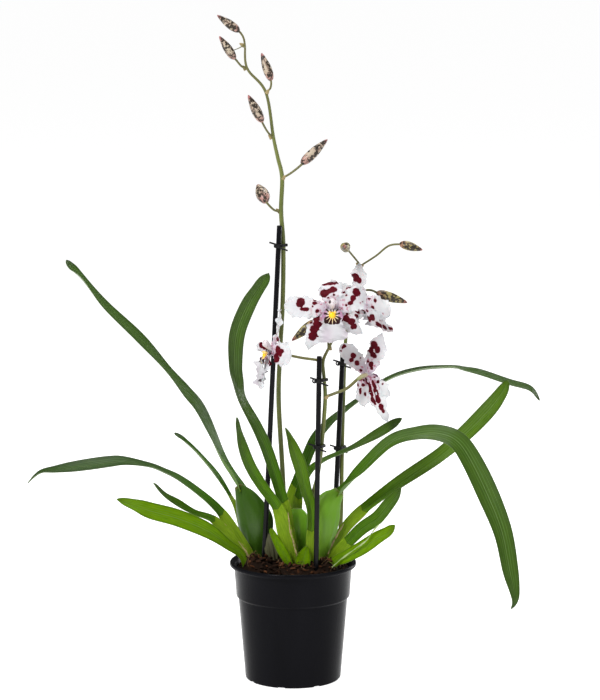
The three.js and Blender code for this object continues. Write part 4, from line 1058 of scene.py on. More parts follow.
for name, (foot, head) in STAKES.items():
    bevel = [(head[2] - STAKE_BEVEL * (1 - np.sin(a)), STAKE_RADIUS - STAKE_BEVEL * (1 - np.cos(a)))
             for a in np.linspace(0, np.pi / 2, 5)]
    heights = [(foot[2], STAKE_BEVEL), (foot[2] + STAKE_POINT, STAKE_RADIUS)] + bevel
    rows = [[*stake_at(name, height), radius] for height, radius in heights]
    build(f"stake_rod_{name}", [skin(rings_at(rows, STAKE_SIDES))], [black_stake], "stake", f"stake_{name}")

# %% The spikes' routes
# A stem is rows of x, y, z and radius. A stalk is points and its radius at both ends. A bud is its
# base, its tip and its radius.
SPIKES = {
    "left": {
        "stem": [
            [-8, 14, 98, 2.3], [-8, 14, 149, 2.3], [-10, 13, 198, 2.3], [-13.5, 10, 265, 2.3],
            [-12, 8, 313, 2.2], [-9.5, 6, 361, 2.2], [-9, 5, 413, 2.2], [-11, 5, 445, 2.1],
            [-10, 5, 476, 2], [-14, 4, 495, 1.8], [-18, 2, 514, 1.6], [-25, -2, 556, 1.35],
            [-42, -6, 578, 1.15], [-44, -8, 600, 0.95], [-46, -9, 608, 0.95], [-50, -10, 613, 1],
        ],
        "stalks": [
            ([[-42, -6, 578], [-47, -8, 580], [-52, -11, 586], [-54, -12, 588]], [0.9, 1]),
            ([[-25, -2, 556], [-21, 1, 559], [-20, 5, 564], [-21, 6, 568]], [0.9, 1]),
            ([[-18, 2, 514], [-23, -3, 519], [-28, -7, 528], [-29, -8, 531]], [0.9, 1]),
            ([[-10, 5, 476], [-4, 6, 479], [3, 6, 484], [10, 6, 490]], [1, 1.1]),
            ([[-11, 5, 445], [-17, 3, 446], [-23, -1, 452], [-26, -2, 457]], [1, 1.1]),
            ([[-44, -8, 600], [-49, -9, 597], [-54, -10, 595]], [0.5, 0.35]),
        ],
        "buds": [
            ([-49, -10, 612], [-69, -14, 627], 4.1),
            ([-53, -12, 587], [-67, -20, 608], 4.2),
            ([-20, 6, 566], [-29, 14, 591], 4.4),
            ([-28, -8, 529], [-41, -14, 554], 4.7),
            ([8, 6, 489], [32, 14, 511], 4.9),
            ([-25, -3, 455], [-33, 21, 468], 6.2),
        ],
    },
    "centre": {
        "stem": [
            [17, -9, 98, 2], [16, -10, 131, 2], [18, -20, 176, 2], [23, -26, 200, 2],
            [27, -28, 233, 2], [30, -27, 272, 1.9], [29, -26, 292, 1.7], [28, -25, 308, 1.6],
            [33, -24, 320, 1.3], [41, -22, 336, 1.3],
        ],
        "stalks": [
            ([[28, -25, 308], [20, -26, 310], [8, -28, 312], [-5, -30, 315]], [1.3, 1.3]),
            ([[30, -27, 275], [40, -28, 279], [50, -27, 283], [59, -23, 290]], [1.4, 1.5]),
            ([[33, -24, 320], [32, -15, 334], [27, -8, 343], [20, -2, 342]], [1, 1.1]),
        ],
        "buds": [
            ([21.5, -2.5, 343], [-1, -8, 325], 4.6),
        ],
    },
    "right": {
        "stem": [
            [42, 22, 98, 2], [44.5, 26, 125, 2], [46, 31, 155, 2], [46.5, 35, 193, 2],
            [47, 39.5, 222, 2], [48, 42, 260, 1.9], [49, 44, 294, 1.8], [50.5, 44.5, 325, 1.7],
            [53, 42, 350, 1.5], [59, 36, 376, 1.3], [64, 28, 391, 1.1],
        ],
        "stalks": [
            ([[64, 28, 391], [57, 23, 400], [51, 16, 408], [49, 9, 411]], [0.9, 1]),
            ([[64, 28, 391], [78, 22, 401], [90, 18, 411], [102, 15, 413]], [0.9, 1]),
            ([[54, 41, 354], [63, 40, 364], [73, 33, 367], [81, 30, 364]], [1, 1.1]),
            ([[50.5, 44.5, 325], [46, 34, 333], [46, 23, 341], [50, 14, 346]], [1.3, 1.3]),
        ],
        "buds": [
            ([49.5, 11, 410], [48, -13, 414], 4.9),
            ([100, 15, 413.3], [121, 10, 408], 4.4),
            ([79, 30, 365], [108, 34, 355], 4.9),
        ],
    },
}


def stem_at(name, height):
    """The middle and radius of a stem at a height."""
    stem = np.array(SPIKES[name]["stem"], float)
    return np.array([np.interp(height, stem[:, 2], column) for column in stem.T])


stem_tops = {name: spike["stem"][-1][2] for name, spike in SPIKES.items()}
print("the stems end at", stem_tops)

# %% The twist ties
# Each tie holds a spike to the stake of its name, at a height.
TIES = {
    "left_high": 413,
    "centre_high": 291,
    "centre_low": 229,
    "right_high": 296,
    "right_low": 215,
}
TIE_WIRE = 0.85
TIE_SLACK = 0.5
TIE_TURNS = 2
TIE_RISE = 1.1
TIE_FORWARD = 0.6  # keeps the first turn in front of the second
TIE_TAIL = np.array([8.5, -1.2, -2.8])
TIE_GRID = (110, 8)
TIE_RING = 1.7  # radius of the small eye that some ties keep beside the stake
RING_GRID = (28, 8)
RINGED = ("centre_high", "right_high")


def tie_skins(name, height):
    """A wire twice round stake and stem, from a tail on the left down to a tail on the right.

    One turn is two half circles, about the stem and about the stake, begun at its front point. The
    wire sinks evenly along the turns, and its tails leave straight on.
    """
    which = name.split("_")[0]
    stake = stake_at(which, height)
    stem = stem_at(which, height)
    apart = stem[:3] - stake
    heading = np.arctan2(apart[1], apart[0])
    bend = np.linspace(-np.pi / 2, np.pi / 2, 9)
    ends = []
    for centre, radius, start in ((stem[:3], stem[3], 0), (stake, STAKE_RADIUS, np.pi)):
        reach = radius + TIE_WIRE + TIE_SLACK
        angle = heading + start + bend
        ends.append(centre + reach * np.stack([np.cos(angle), np.sin(angle), 0 * angle], -1))
    once = np.concatenate(ends)
    once = np.roll(once, -np.argmin(once[:, 1]), axis=0)
    coil = np.concatenate([once] * TIE_TURNS + [once[:1]])
    coil[:, 2] += np.linspace(TIE_RISE, -TIE_RISE, len(coil))
    coil[:, 1] -= np.linspace(TIE_FORWARD, 0, len(coil))
    left = coil[0] + TIE_TAIL * [-1, 1, -1]
    right = coil[-1] + TIE_TAIL
    wire = np.vstack([left, mix(left, coil[0], 0.5), coil, mix(coil[-1], right, 0.5), right])
    radii = np.full((len(wire), 1), TIE_WIRE)
    skins = [skin(tube(np.hstack([wire, radii]), *TIE_GRID, toward=UP + 0.2 * FRONT)[0])]
    if name in RINGED:
        turn = np.linspace(0, 2 * np.pi, 13)[:, None]
        middle = stake + [-STAKE_RADIUS - TIE_RING, -TIE_WIRE, 0]
        eye_line = middle + TIE_RING * (np.cos(turn) * [1, 0, 0] + np.sin(turn) * [0, 0.3, 1])
        eye_line = np.hstack([eye_line, np.full((len(turn), 1), TIE_WIRE * 0.8)])
        skins.append(skin(tube(eye_line, *RING_GRID, toward=FRONT)[0]))
    return skins


black_tie = mottled("black_tie_plastic", (300, 2), (4, 4, 5), (16, 16, 18), (0.0001, 900, 2),
                    Roughness=0.5, Specular_IOR_Level=0.2)
for name, height in TIES.items():
    build(f"twist_{name}", tie_skins(name, height), [black_tie], "tie", f"tie_{name}")

# %% [markdown]
# Flower spikes
#
# A spike is a stem with side stalks that end in buds or blooms. A small dry bract sits where each
# stalk leaves. Bevelled curves could be the stems, but they carry no marks for the finish. A bud is
# three closed sepals, so its rings are a rounded triangle that winds a little on its way to the
# tip, with a seam between each two sepals.

# %% Stalks, bracts and buds
BUD_SHAPE = [  # share of the length and of the radius
    [0, 0.3], [0.06, 0.62], [0.18, 0.9], [0.36, 1], [0.56, 0.9], [0.76, 0.62], [0.92, 0.34], [1, 0.1],
]
BUD_SEAM = 0.1
BUD_WIND = 0.7
BUD_GRID = (30, 36)


def stalk_rows(points, radii):
    """Points with a radius that runs evenly from the first to the last."""
    shares = np.linspace(0, 1, len(points))
    return np.column_stack([points, mix(radii[0], radii[1], shares)])


def bud_skin(base, tip, radius, order, olive):
    """A spindle in three lobes: the radius times 1 - seam |cos(1.5 (angle + wind s + order))|^6."""
    share, part = np.array(BUD_SHAPE).T
    rows = np.column_stack([mix(np.array(base), np.array(tip), share[:, None]), radius * part])
    toward = FRONT if abs(unit(np.subtract(tip, base)) @ FRONT) < 0.8 else UP
    seam = lambda s, a: np.abs(np.cos(1.5 * (a + BUD_WIND * s + order)))
    swell = lambda s, a: 1 - BUD_SEAM * seam(s, a) ** 6
    grid, s = tube(rows, *BUD_GRID, toward=toward, swell=swell)
    angle = np.linspace(0, 2 * np.pi, BUD_GRID[1], endpoint=False)[None, :]
    return skin(grid, part=1, along=s, across=seam(s, angle), warm=olive)


def bract_skin(place, ahead, size):
    """A small pointed scale on one side of the stem: a flat tube of radius 1.8 (1 - s^2)^0.7."""
    s = np.linspace(0, 1, 12)
    out = unit(np.cross(ahead, UP) + 0.3 * FRONT)
    spine = place + ahead * (size * s)[:, None] + out * (1.6 + 1.4 * s**2)[:, None]
    radius = 1.8 * (1 - s**2) ** 0.7 + 0.12
    return skin(tube(np.column_stack([spine, radius]), 12, 10, flat=0.25)[0], part=2)


print("a bud is widest at", max(BUD_SHAPE, key=lambda row: row[1])[0], "of its length")

# %% The spikes' finishes
olive_stem = Finish("olive_stem", Roughness=0.4, Specular_IOR_Level=0.35)
blush = olive_stem.grain(45, 3)
stem_green = olive_stem.blend(blush, (60, 72, 24), (118, 124, 62))
olive_stem.colour(olive_stem.mark("tint"), stem_green, (98, 86, 58))
olive_stem.relief(olive_stem.grain(260, 3, (1, 1, 0.2)), 0.0002)

spotted_bud = Finish("spotted_bud", Roughness=0.4, Specular_IOR_Level=0.35)
bud_along = spotted_bud.mark("along")
bud_pale = spotted_bud.blend(spotted_bud.grain(120, 2), (184, 174, 150), (160, 136, 130))
bud_olive = spotted_bud.blend(spotted_bud.grain(120, 2), (120, 120, 52), (150, 134, 70))
bud_cream = spotted_bud.blend(spotted_bud.mark("warm"), bud_pale, bud_olive)
pink_foot = spotted_bud.fade(bud_along, 0.1, 0.35, 0.5, 0)
pink_tip = spotted_bud.fade(bud_along, 0.78, 0.94, 0, 0.8)
pink_ends = spotted_bud.math("MAXIMUM", pink_foot, pink_tip)
seam_line = spotted_bud.fade(spotted_bud.mark("across"), 0.9, 1, 0, 0.7)
bud_cream = spotted_bud.over(bud_cream, (pink_ends, (160, 86, 92)), (seam_line, (84, 50, 44)))
spots = spotted_bud.fade(spotted_bud.grain(300, 3, rough=0.6), 0.47, 0.52)
spots = spotted_bud.math("MULTIPLY", spots, spotted_bud.fade(bud_along, 0.88, 1, 1, 0.2))
spotted_bud.colour(spots, bud_cream, (44, 36, 26))
spotted_bud.relief(spotted_bud.grain(300, 3), 0.0002)

dry_bract = mottled("dry_bract", (300, 3), (120, 108, 70), (160, 140, 96), Roughness=0.7)

print("spotted bud:", len(spotted_bud.tree.nodes), "nodes")

# %% The flower spikes
STEM_GRID = (160, 18)
STALK_GRID = (30, 14)
BRACT_LENGTH = 5
BRACT_DROP = 1.5
LEFT_OLIVE = 0.1  # how olive the buds of the left spike are
OTHER_OLIVE = 0.8

for name, spike in SPIKES.items():
    stem_grid, share = tube(spike["stem"], *STEM_GRID)
    skins = [skin(stem_grid, along=share, tint=smooth((share - 0.75) * 4) * 0.6)]
    for points, radii in spike["stalks"]:
        grid, share = tube(stalk_rows(points, radii), *STALK_GRID)
        skins.append(skin(grid, along=share, tint=0.5))
        ahead = unit(np.subtract(points[1], points[0]) + 6 * UP)
        skins.append(bract_skin(points[0] - BRACT_DROP * UP, ahead, BRACT_LENGTH))
    olive = LEFT_OLIVE if name == "left" else OTHER_OLIVE
    for order, (base, tip, radius) in enumerate(spike["buds"]):
        skins.append(bud_skin(base, tip, radius, order, olive))
    finishes = [olive_stem, spotted_bud, dry_bract]
    build(f"flower_spike_{name}", skins, finishes, "spike", f"spike_{name}")

# %% [markdown]
# Blooms
#
# A bloom has three sepals, two petals and a lip under a short column. All but the lip are called
# tepals here. They are thin, ruffled at the margin and blotched with burgundy on white. Ruffles
# could be sculpted; here a tepal is the same blade as a leaf, laid across a line that curls back,
# with a margin that is lifted by a few sine waves whose size grows as the cube of k.

# %% The blooms' places
# centre is where the tepals meet and facing the way the bloom looks. A tepal or lip is its angle
# from the bloom's own right, length, width, lean forward, curl, how blunt its end is from 0 to 1,
# its roll and the sway of its midline, in degrees where it is an angle.
BLOOMS = {
    "front": {
        "centre": [36, -43, 360],
        "facing": [0.02, -1, 0.12],
        "ovary": [[41, -23, 338], [41, -29, 349], [38, -36, 357]],
        "tepals": [
            [93, 27, 21, 20, 36, 1.0, 0, 0],
            [175, 44, 19, 10, 14, 1.0, 0, -4],
            [24, 35, 22, 8, 20, 1.0, 0, 0],
            [241, 44, 17, 2, 10, 0.3, 0, 16],
            [320, 37, 14, 0, 12, 0.3, 0, 0],
        ],
        "lip": [271, 32, 28, 28, 32, 1, 0, 0],
    },
    "back": {
        "centre": [62, 14, 358],
        "facing": [0.62, 0.76, 0.12],
        "ovary": [[50.5, 13.2, 346.5], [54, 10, 350], [58, 10, 355]],
        "tepals": [
            [90, 37, 17, 4, -4, 0.5, 0, 0],
            [193, 38, 20, 8, 10, 0.9, 0, 16],
            [28, 29, 20, 6, 20, 0.8, 0, 0],
            [210, 47, 15, 4, 8, 0.1, 0, -12],
            [292, 26, 14, 6, 12, 0.2, 0, 0],
        ],
        "lip": [252, 28, 25, 50, 30, 1, 0, 0],
    },
    "left": {
        "centre": [-19, -33, 320],
        "facing": [-0.95, -0.28, 0.08],
        "ovary": [[-5.6, -30.2, 315.2], [-10, -31, 316.5], [-14, -32, 318]],
        "tepals": [
            [88, 38, 12, -16, -10, 0.4, 0, 0],
            [-4, 25, 22, -4, 28, 0.9, 0, 0],
            [172, 18, 9, 46, 6, 0.9, 0, 0],
            [296, 40, 13, 24, 4, 0.2, 0, 0],
            [246, 40, 12, 10, 4, 0.2, 0, 0],
        ],
        "lip": [272, 36, 25, 40, 30, 1, 0, 0],
    },
    "low": {
        "centre": [69, -14, 294],
        "facing": [0.46, 0.88, -0.06],
        "ovary": [[59.4, -22.6, 290.4], [62, -20.5, 291.8], [65, -18, 293.2]],
        "tepals": [
            [112, 43, 18, 4, 8, 0.3, 0, 0],
            [46, 37, 16, 4, 12, 0.8, -26, 0],
            [214, 31, 13, 8, 12, 0.6, 0, -6],
            [240, 48, 17, 0, 4, 0.1, 0, 0],
            [270, 31, 16, 8, 12, 0.3, 0, -22],
        ],
        "lip": [256, 26, 25, 50, 30, 1, 0, 0],
    },
}

print("the blooms open at", {name: bloom["centre"] for name, bloom in BLOOMS.items()})

# %% Blotches read off the photograph
# Each blotch is its middle in the photograph's pixels, then its half length along the tepal and its
# half width across it in millimetres. A tepal that the photograph hides has none here.
BLOTCHES_SEEN = {
    "front": [
        [(330, 284, 2, 8), (324.5, 293.5, 3.6, 4.2), (333, 289.5, 3, 4), (329, 291.5, 2.2, 2.6),
         (334, 295, 1, 1.2), (328, 297.5, 1, 1.2), (321, 297, 1.2, 1.3)],
        [(300.5, 303, 4, 4.5), (305, 309, 4.2, 2), (314.5, 303, 2.4, 1.6), (317, 311, 2, 2.1),
         (312, 306.5, 0.8, 0.8), (316, 298, 1.6, 1)],
        [(356.5, 292.5, 3.6, 4.3), (353.5, 298.5, 2.9, 2.9), (350, 302.5, 2.8, 2.1),
         (346, 305.5, 1.1, 1), (360, 303, 1, 1), (362.5, 301.5, 0.8, 0.8), (344, 292.5, 1.2, 0.8),
         (346.5, 295.5, 1.2, 0.8), (350, 286.5, 4.7, 0.8)],
        [(316, 319, 3.2, 3.4), (318.5, 325, 3.6, 5.6), (314.5, 330, 4.2, 4.8), (313, 336, 4.2, 4),
         (317.5, 334.5, 2.8, 3), (322, 329.5, 3, 2.4), (311, 322, 1.6, 1.6)],
        [(346, 318, 3.8, 3.2), (351.5, 321.5, 3.6, 3.4), (353.5, 326, 3, 3),
         (347, 314, 1.5, 1.5), (342.5, 319.5, 1.5, 1.5)],
    ],
    "back": [
        [(356, 277.5, 4.2, 4.4), (359.5, 280, 3, 3)],
        [(366, 299.5, 1.1, 1.1), (369.5, 298.5, 1.8, 1), (375, 300.5, 1.6, 2.2),
         (372.5, 307.5, 2, 2), (383.5, 313.5, 0.9, 0.7), (378.5, 320.5, 1.2, 0.9)],
        [],
        [(358.5, 309.5, 3, 2.4), (363, 313.5, 4, 2.4), (367.5, 318.5, 4.2, 2.4),
         (372.5, 317.5, 3.4, 3.4), (379, 325, 4.6, 2.4), (385, 327, 3.4, 2), (390.5, 328.5, 2.4, 1.3),
         (361, 318, 1.6, 1.2), (367, 311, 1.4, 1.2)],
        [],
    ],
    "left": [
        [(277, 334, 1.3, 1.3), (278, 338.5, 1.5, 1.5), (276, 330, 0.9, 0.9),
         (279, 342, 1.2, 1.2), (279, 326, 0.8, 0.8)],
        [(278, 350, 4, 4), (276.5, 358, 4, 4.5), (282, 350.5, 2.6, 2), (280, 354.5, 2.4, 2.4)],
        [(265, 346, 7, 3.5)],
        [(270, 362, 3, 1.6), (268, 374, 2, 1.4)],
        [(269, 364, 3, 2)],
    ],
    "low": [
        [(374, 345, 4.2, 3.9), (377.5, 349.5, 3.4, 2.8), (370.5, 350.5, 3, 3.3),
         (373.5, 354.5, 2.8, 4), (371.5, 364, 3, 2.2), (367.5, 361.5, 1.6, 1.3), (372, 368, 1.6, 1.6)],
        [(353.5, 355.5, 2.6, 2.6), (351.5, 360.5, 2.1, 2.2), (357, 363, 2.6, 2.4),
         (360.5, 358, 0.9, 0.9), (344, 346.5, 1.6, 2.6), (341, 351, 1, 0.8), (361, 370, 1.5, 1.5)],
        [(378.5, 381.5, 1.7, 1.7), (374.5, 377, 1.2, 1), (376, 386, 1, 1), (383, 384, 1, 1)],
        [(369, 384, 6, 2), (371, 392, 6, 2), (373.5, 400, 5, 1.9), (374.5, 385, 5, 1.9),
         (376.5, 392.5, 4.6, 2.3), (378, 399.5, 4.2, 2.4), (381, 407, 3.6, 2.6), (384, 411, 2, 1.7)],
        [(357.5, 385, 1.9, 1.6), (360.5, 391.5, 2.8, 1.6), (363, 385, 1.7, 2),
         (361, 378.5, 1.7, 2.2), (365.5, 394, 2, 1.2), (364, 380, 1.3, 1.5)],
    ],
}
PHOTO_MIDDLE = (300, 350)


def pixels(points):
    """Where points in millimetres fall in the photograph: middle + focal length * offset / depth."""
    pitch = np.arctan2(EYE[2] - AIM_HEIGHT, -EYE[1])
    away = points - np.array(EYE) / MM
    depth = away[..., 1] * np.cos(pitch) - away[..., 2] * np.sin(pitch)
    rise = away[..., 1] * np.sin(pitch) + away[..., 2] * np.cos(pitch)
    right = PHOTO_MIDDLE[0] + FOCAL_PIXELS * away[..., 0] / depth
    return np.stack([right, PHOTO_MIDDLE[1] - FOCAL_PIXELS * rise / depth], -1)


def blotches_on(grid, run, aside, seen):
    """Each seen blotch moved onto a tepal: to the way along and aside of its nearest point."""
    shown = pixels(grid)
    placed = []
    for x, y, long, wide in seen:
        nearest = np.hypot(shown[..., 0] - x, shown[..., 1] - y).argmin()
        placed.append((run.flat[nearest], aside.flat[nearest], long, wide))
    return placed


def drawn_blotches(length, width, seed):
    """For a hidden tepal: three blotches down its middle and a few spots towards its foot."""
    draw = np.random.default_rng(seed)
    drawn = []
    for share in (0.35, 0.52, 0.7):
        aside = width * draw.uniform(-0.14, 0.14)
        long = length * draw.uniform(0.06, 0.09)
        drawn.append((share * length, aside, long, width * draw.uniform(0.12, 0.2)))
    for _ in range(4):
        size = draw.uniform(0.6, 1.2)
        drawn.append((length * draw.uniform(0.12, 0.45), width * draw.uniform(-0.25, 0.25), size, size))
    return drawn


def blotch_depth(run, aside, ovals):
    """How deep a point lies inside the nearest oval, in millimetres; below 0 outside them all.

    In an oval the depth is 1 less the point's distance as a share of the radii, times the
    smaller radius.
    """
    depth = np.full(run.shape, -9.0)
    for along, beside, long, wide in ovals:
        share = np.hypot((run - along) / long, (aside - beside) / wide)
        depth = np.maximum(depth, (1 - share) * min(long, wide))
    return depth


print("the plant's foot falls on pixel", pixels(np.array([0.0, 0.0, 0.0])).round(0))

# %% Tepals
PETAL_STEPS = 6
PETAL_COLUMNS = 31
TEPAL_ROWS = 60
TEPAL_TIP = 0.12
TEPAL_CLAW = 0.42
TEPAL_RIB = 0.9
TEPAL_EDGE = 0.4
RUFFLE = 1.7
FRILL = 0.07


def bloom_axes(bloom):
    """Out of the bloom's face, up and right as seen from its front."""
    out = unit(bloom["facing"])
    up = unit(UP - out[2] * out)
    return out, up, np.cross(up, out)


def petal_line(bloom, petal, start=0.0):
    """A line that leaves the centre at its angle and leans out by lift - 2 curl share.

    Its direction turns from angle - sway to angle + sway on the way. The columns are x, y, z and
    then the turn of the blade.
    """
    angle, length, _, lift, curl, _, roll, sway = petal
    out, up, right = bloom_axes(bloom)
    share = (np.arange(PETAL_STEPS) + 0.5)[:, None] / PETAL_STEPS
    turned = np.radians(angle + sway * (2 * share - 1))
    away = right * np.cos(turned) + up * np.sin(turned)
    lean = np.radians(lift - 2 * curl * share)
    steps = (away * np.cos(lean) + out * np.sin(lean)) * length / PETAL_STEPS
    path = np.vstack([np.zeros(3), np.cumsum(steps, axis=0)])
    path = path + np.array(bloom["centre"]) + start * out + 0.6 * away[0]
    turn = np.full((len(path), 1), 90.0 + roll)
    return np.hstack([path, turn, turn])


def tepal_width(s, wide, blunt, order):
    """The half width of a tepal at each point.

    It grows from a narrow claw as a smooth step, closes as a power of 1 - x^2 over its tip, and its
    margin is ragged by three sine waves.
    """
    tip = mix(0.6, 0.3, blunt)
    closing = (1 - np.clip((s - 1 + tip) / tip, 0, 1) ** 2) ** mix(0.95, 0.5, blunt)
    half = (0.5 + wide / 2 * mix(TEPAL_CLAW, 1, smooth(s / 0.55))) * closing
    half = np.maximum(half, NARROWEST / 2)[:, None]
    ring = np.r_[np.linspace(-1, 1, PETAL_COLUMNS), np.linspace(1, -1, PETAL_COLUMNS)][None, :]
    s = s[:, None]
    hand = np.sign(ring)
    ragged = np.sin(17 * s + 3 * order + 2 * hand) + 0.8 * np.sin(37 * s + order + 4 * hand)
    ragged = ragged + 0.6 * np.sin(71 * s + 2 * order + hand)
    return half * (1 + FRILL * ring**2 * ragged * smooth(s * 3))


def tepal_skin(bloom, petal, order, seen, seed):
    """A ruffled blade: its margin is lifted by two sine waves that grow as the cube of |k|."""
    s = tip_places(TEPAL_ROWS, TEPAL_TIP)
    _, length, wide, _, _, blunt, _, _ = petal
    stations = line(petal_line(bloom, petal), s)
    half = tepal_width(s, wide, blunt, order)

    def ruffle(s, k):
        slow = np.sin(13 * s + 2.1 * order + 1.3 * np.sign(k))
        return np.abs(k) ** 3 * RUFFLE * (slow + 0.6 * np.sin(31 * s + order + 2 * k))

    def fold(s):
        return 8 - 14 * s

    out = bloom_axes(bloom)[0]
    grid, ring, upper = blade(stations, s, half, out, 1, fold, ruffle, TEPAL_RIB, TEPAL_EDGE, PETAL_COLUMNS)
    run = np.broadcast_to(s[:, None] * length, grid.shape[:2])
    aside = ring * half
    ovals = blotches_on(grid, run, aside, seen) or drawn_blotches(length, wide, seed)
    depth = blotch_depth(run, aside, ovals)
    return skin(grid, along=s[:, None], across=ring, blotch=depth, shade=(1 - upper) / 2)


print("a tepal has", 2 * PETAL_COLUMNS, "points in each ring")

# %% The column and the ovary
# The rows are the way forward and up from the bloom's centre, and the radius.
COLUMN = [[-1, 0, 2], [2, 1.6, 2.2], [5, 4.2, 2.8], [7, 6, 3.3], [8.4, 7, 3], [9.4, 7.4, 1.5]]
CAP_DOT = (9, 6.6, -2.6, 1.9)  # forward, up, right and radius
OVARY_RADII = [1.3, 1.8, 2, 1.6]


def round_skin(centre, heading, long, radius, part, **marks):
    """A closed egg: radius sin t round a line of long cos t, flattened where the line is short."""
    t = np.linspace(0.06, np.pi - 0.06, 14)
    spine = centre - heading * (long * np.cos(t))[:, None]
    rings = rings_at(np.column_stack([spine, radius * np.sin(t)]), 20, FRONT + 0.3 * UP)
    return skin(rings, part=part, **marks)


def column_skins(bloom):
    """The column as a stout bent tube with two short wings, and the ovary behind it.

    A wing rises as the square of its way and thins as 1.4 - 1.1 way^2. The ovary has six faint ribs.
    """
    out, up, right = bloom_axes(bloom)
    centre = np.array(bloom["centre"], float)
    rows = [[*(centre + forward * out + rise * up), radius] for forward, rise, radius in COLUMN]
    grid, share = tube(rows, 20, 22, toward=up)
    forward, rise, beside, radius = CAP_DOT
    dot = radius - np.linalg.norm(grid - (centre + forward * out + rise * up + beside * right), axis=2)
    skins = [skin(grid, part=1, along=share, blotch=dot)]
    for hand in (-1, 1):
        root = centre + 5.5 * out + 4.5 * up + hand * 1.5 * right
        steps = np.linspace(0, 1, 6)[:, None]
        wing = root + steps * (hand * 3 * right + 1.5 * out) + steps**2 * 1.5 * up
        wing = tube(np.hstack([wing, 1.4 - 1.1 * steps**2]), 12, 12, 0.35, toward=out)
        skins.append(skin(wing[0], part=1, along=wing[1], blotch=-9.0))
    ovary = np.column_stack([bloom["ovary"] + [bloom["centre"]], OVARY_RADII])
    stalk = tube(ovary, 24, 18, toward=UP, swell=lambda s, a: 1 + 0.06 * np.cos(6 * a))
    skins.append(skin(stalk[0], part=2, along=stalk[1]))
    return skins


print("a column is", round(COLUMN[-1][0] - COLUMN[0][0], 1), "mm long")

# %% The blooms' finishes
def petal_finish():
    """White with burgundy blotches: the mark gives the depth in a blotch, and noise frays its edge."""
    petal = Finish("spotted_petal", Roughness=0.45, Subsurface_Scale=0.004, Subsurface_Radius=(0.6, 0.4, 0.4))
    along = petal.mark("along")
    depth = petal.mark("blotch")
    fray = petal.math("MULTIPLY", petal.math("SUBTRACT", petal.grain(340, 4), 0.5), 2.6)
    ragged = petal.math("ADD", depth, fray)
    white = petal.blend(petal.grain(70, 3), (208, 211, 210), (184, 184, 191))
    # Painted shade: a grey band along each tepal's edge stands in for the shade at its thin margin.
    painted_edge_shade = petal.fade(petal.math("ABSOLUTE", petal.mark("across")), 0.9, 1, 0, 0.5)
    foot = petal.fade(along, 0.05, 0.45, 0.5, 0)
    freckles = petal.fade(petal.grain(330, 2), 0.56, 0.62)
    freckles = petal.math("MULTIPLY", freckles, petal.fade(along, 0.25, 0.55, 0.8, 0))
    halo = petal.fade(ragged, -0.9, 0.1, 0, 0.4)
    white = petal.over(white, (painted_edge_shade, (168, 160, 170)), (foot, (196, 158, 186)),
                       (freckles, (168, 84, 112)), (halo, (186, 120, 138)))
    burgundy = petal.blend(petal.grain(190, 3), (42, 1, 8), (102, 12, 28))
    petal.colour(petal.fade(ragged, -0.06, 0.1), white, burgundy)
    petal.wear("Subsurface Weight", petal.fade(ragged, -0.06, 0.1, 0.25, 0))
    petal.wear("Specular IOR Level", petal.fade(ragged, -0.06, 0.1, 0.25, 0.06))
    veins = petal.math("SINE", petal.math("MULTIPLY", petal.mark("across"), 46))
    petal.relief(petal.math("ADD", veins, petal.grain(1400, 2)), 0.00006)
    return petal


white_petal = petal_finish()
pale_column = Finish("pale_column", Roughness=0.4)
dots = pale_column.fade(pale_column.grain(420, 1), 0.62, 0.68)
column_tone = pale_column.blend(dots, (206, 198, 200), (138, 70, 92))
column_dot = pale_column.fade(pale_column.mark("blotch"), 0, 0.3)
pale_column.colour(column_dot, column_tone, (44, 14, 18))
pale_ovary = Finish("pale_ovary", Roughness=0.45)
pale_ovary.colour(pale_ovary.mark("along"), (132, 138, 84), (200, 186, 156))

print("spotted petal:", len(white_petal.tree.nodes), "nodes")

# %% The four blooms
for place, (name, bloom) in enumerate(BLOOMS.items()):
    skins = []
    for order, petal in enumerate(bloom["tepals"]):
        seen = BLOTCHES_SEEN[name][order]
        skins.append(tepal_skin(bloom, petal, order, seen, 10 * place + order))
    skins += column_skins(bloom)
    finishes = [white_petal, pale_column, pale_ovary]
    build(f"petals_{name}", skins, finishes, "tepals", f"bloom_{name}_tepals")

# %% [markdown]
# Lips
#
# The lip is the broad lowest petal that the visiting insect lands on. It has two small side lobes
# beside the column, a waist and a wide ruffled midlobe with a notched end. Yellow ridges, the
# callus, stand where the lobes meet, and dark rays fan out from them. The rays are worked out from
# the angle and distance round the callus, so they stay in place on the bent surface.

# %% The lip
LIP_COLUMNS = 49
LIP_ROWS = 64
LIP_FORWARD = 3
LIP_TIP = 0.1
LIP_RUFFLE = 3.4
LIP_FRILL = 0.06
LIP_NOTCH = 3.5
LIP_OUTLINE = [  # share of the length and of the full width
    [0, 0.42], [0.1, 0.62], [0.22, 0.74], [0.36, 0.6], [0.55, 0.84], [0.76, 1], [0.9, 0.86], [1, 0.6],
]
CALLUS_PLACE = 5.2  # millimetres from the lip's foot
BAND_REACH = 9.8
BAND_FRONT = 9


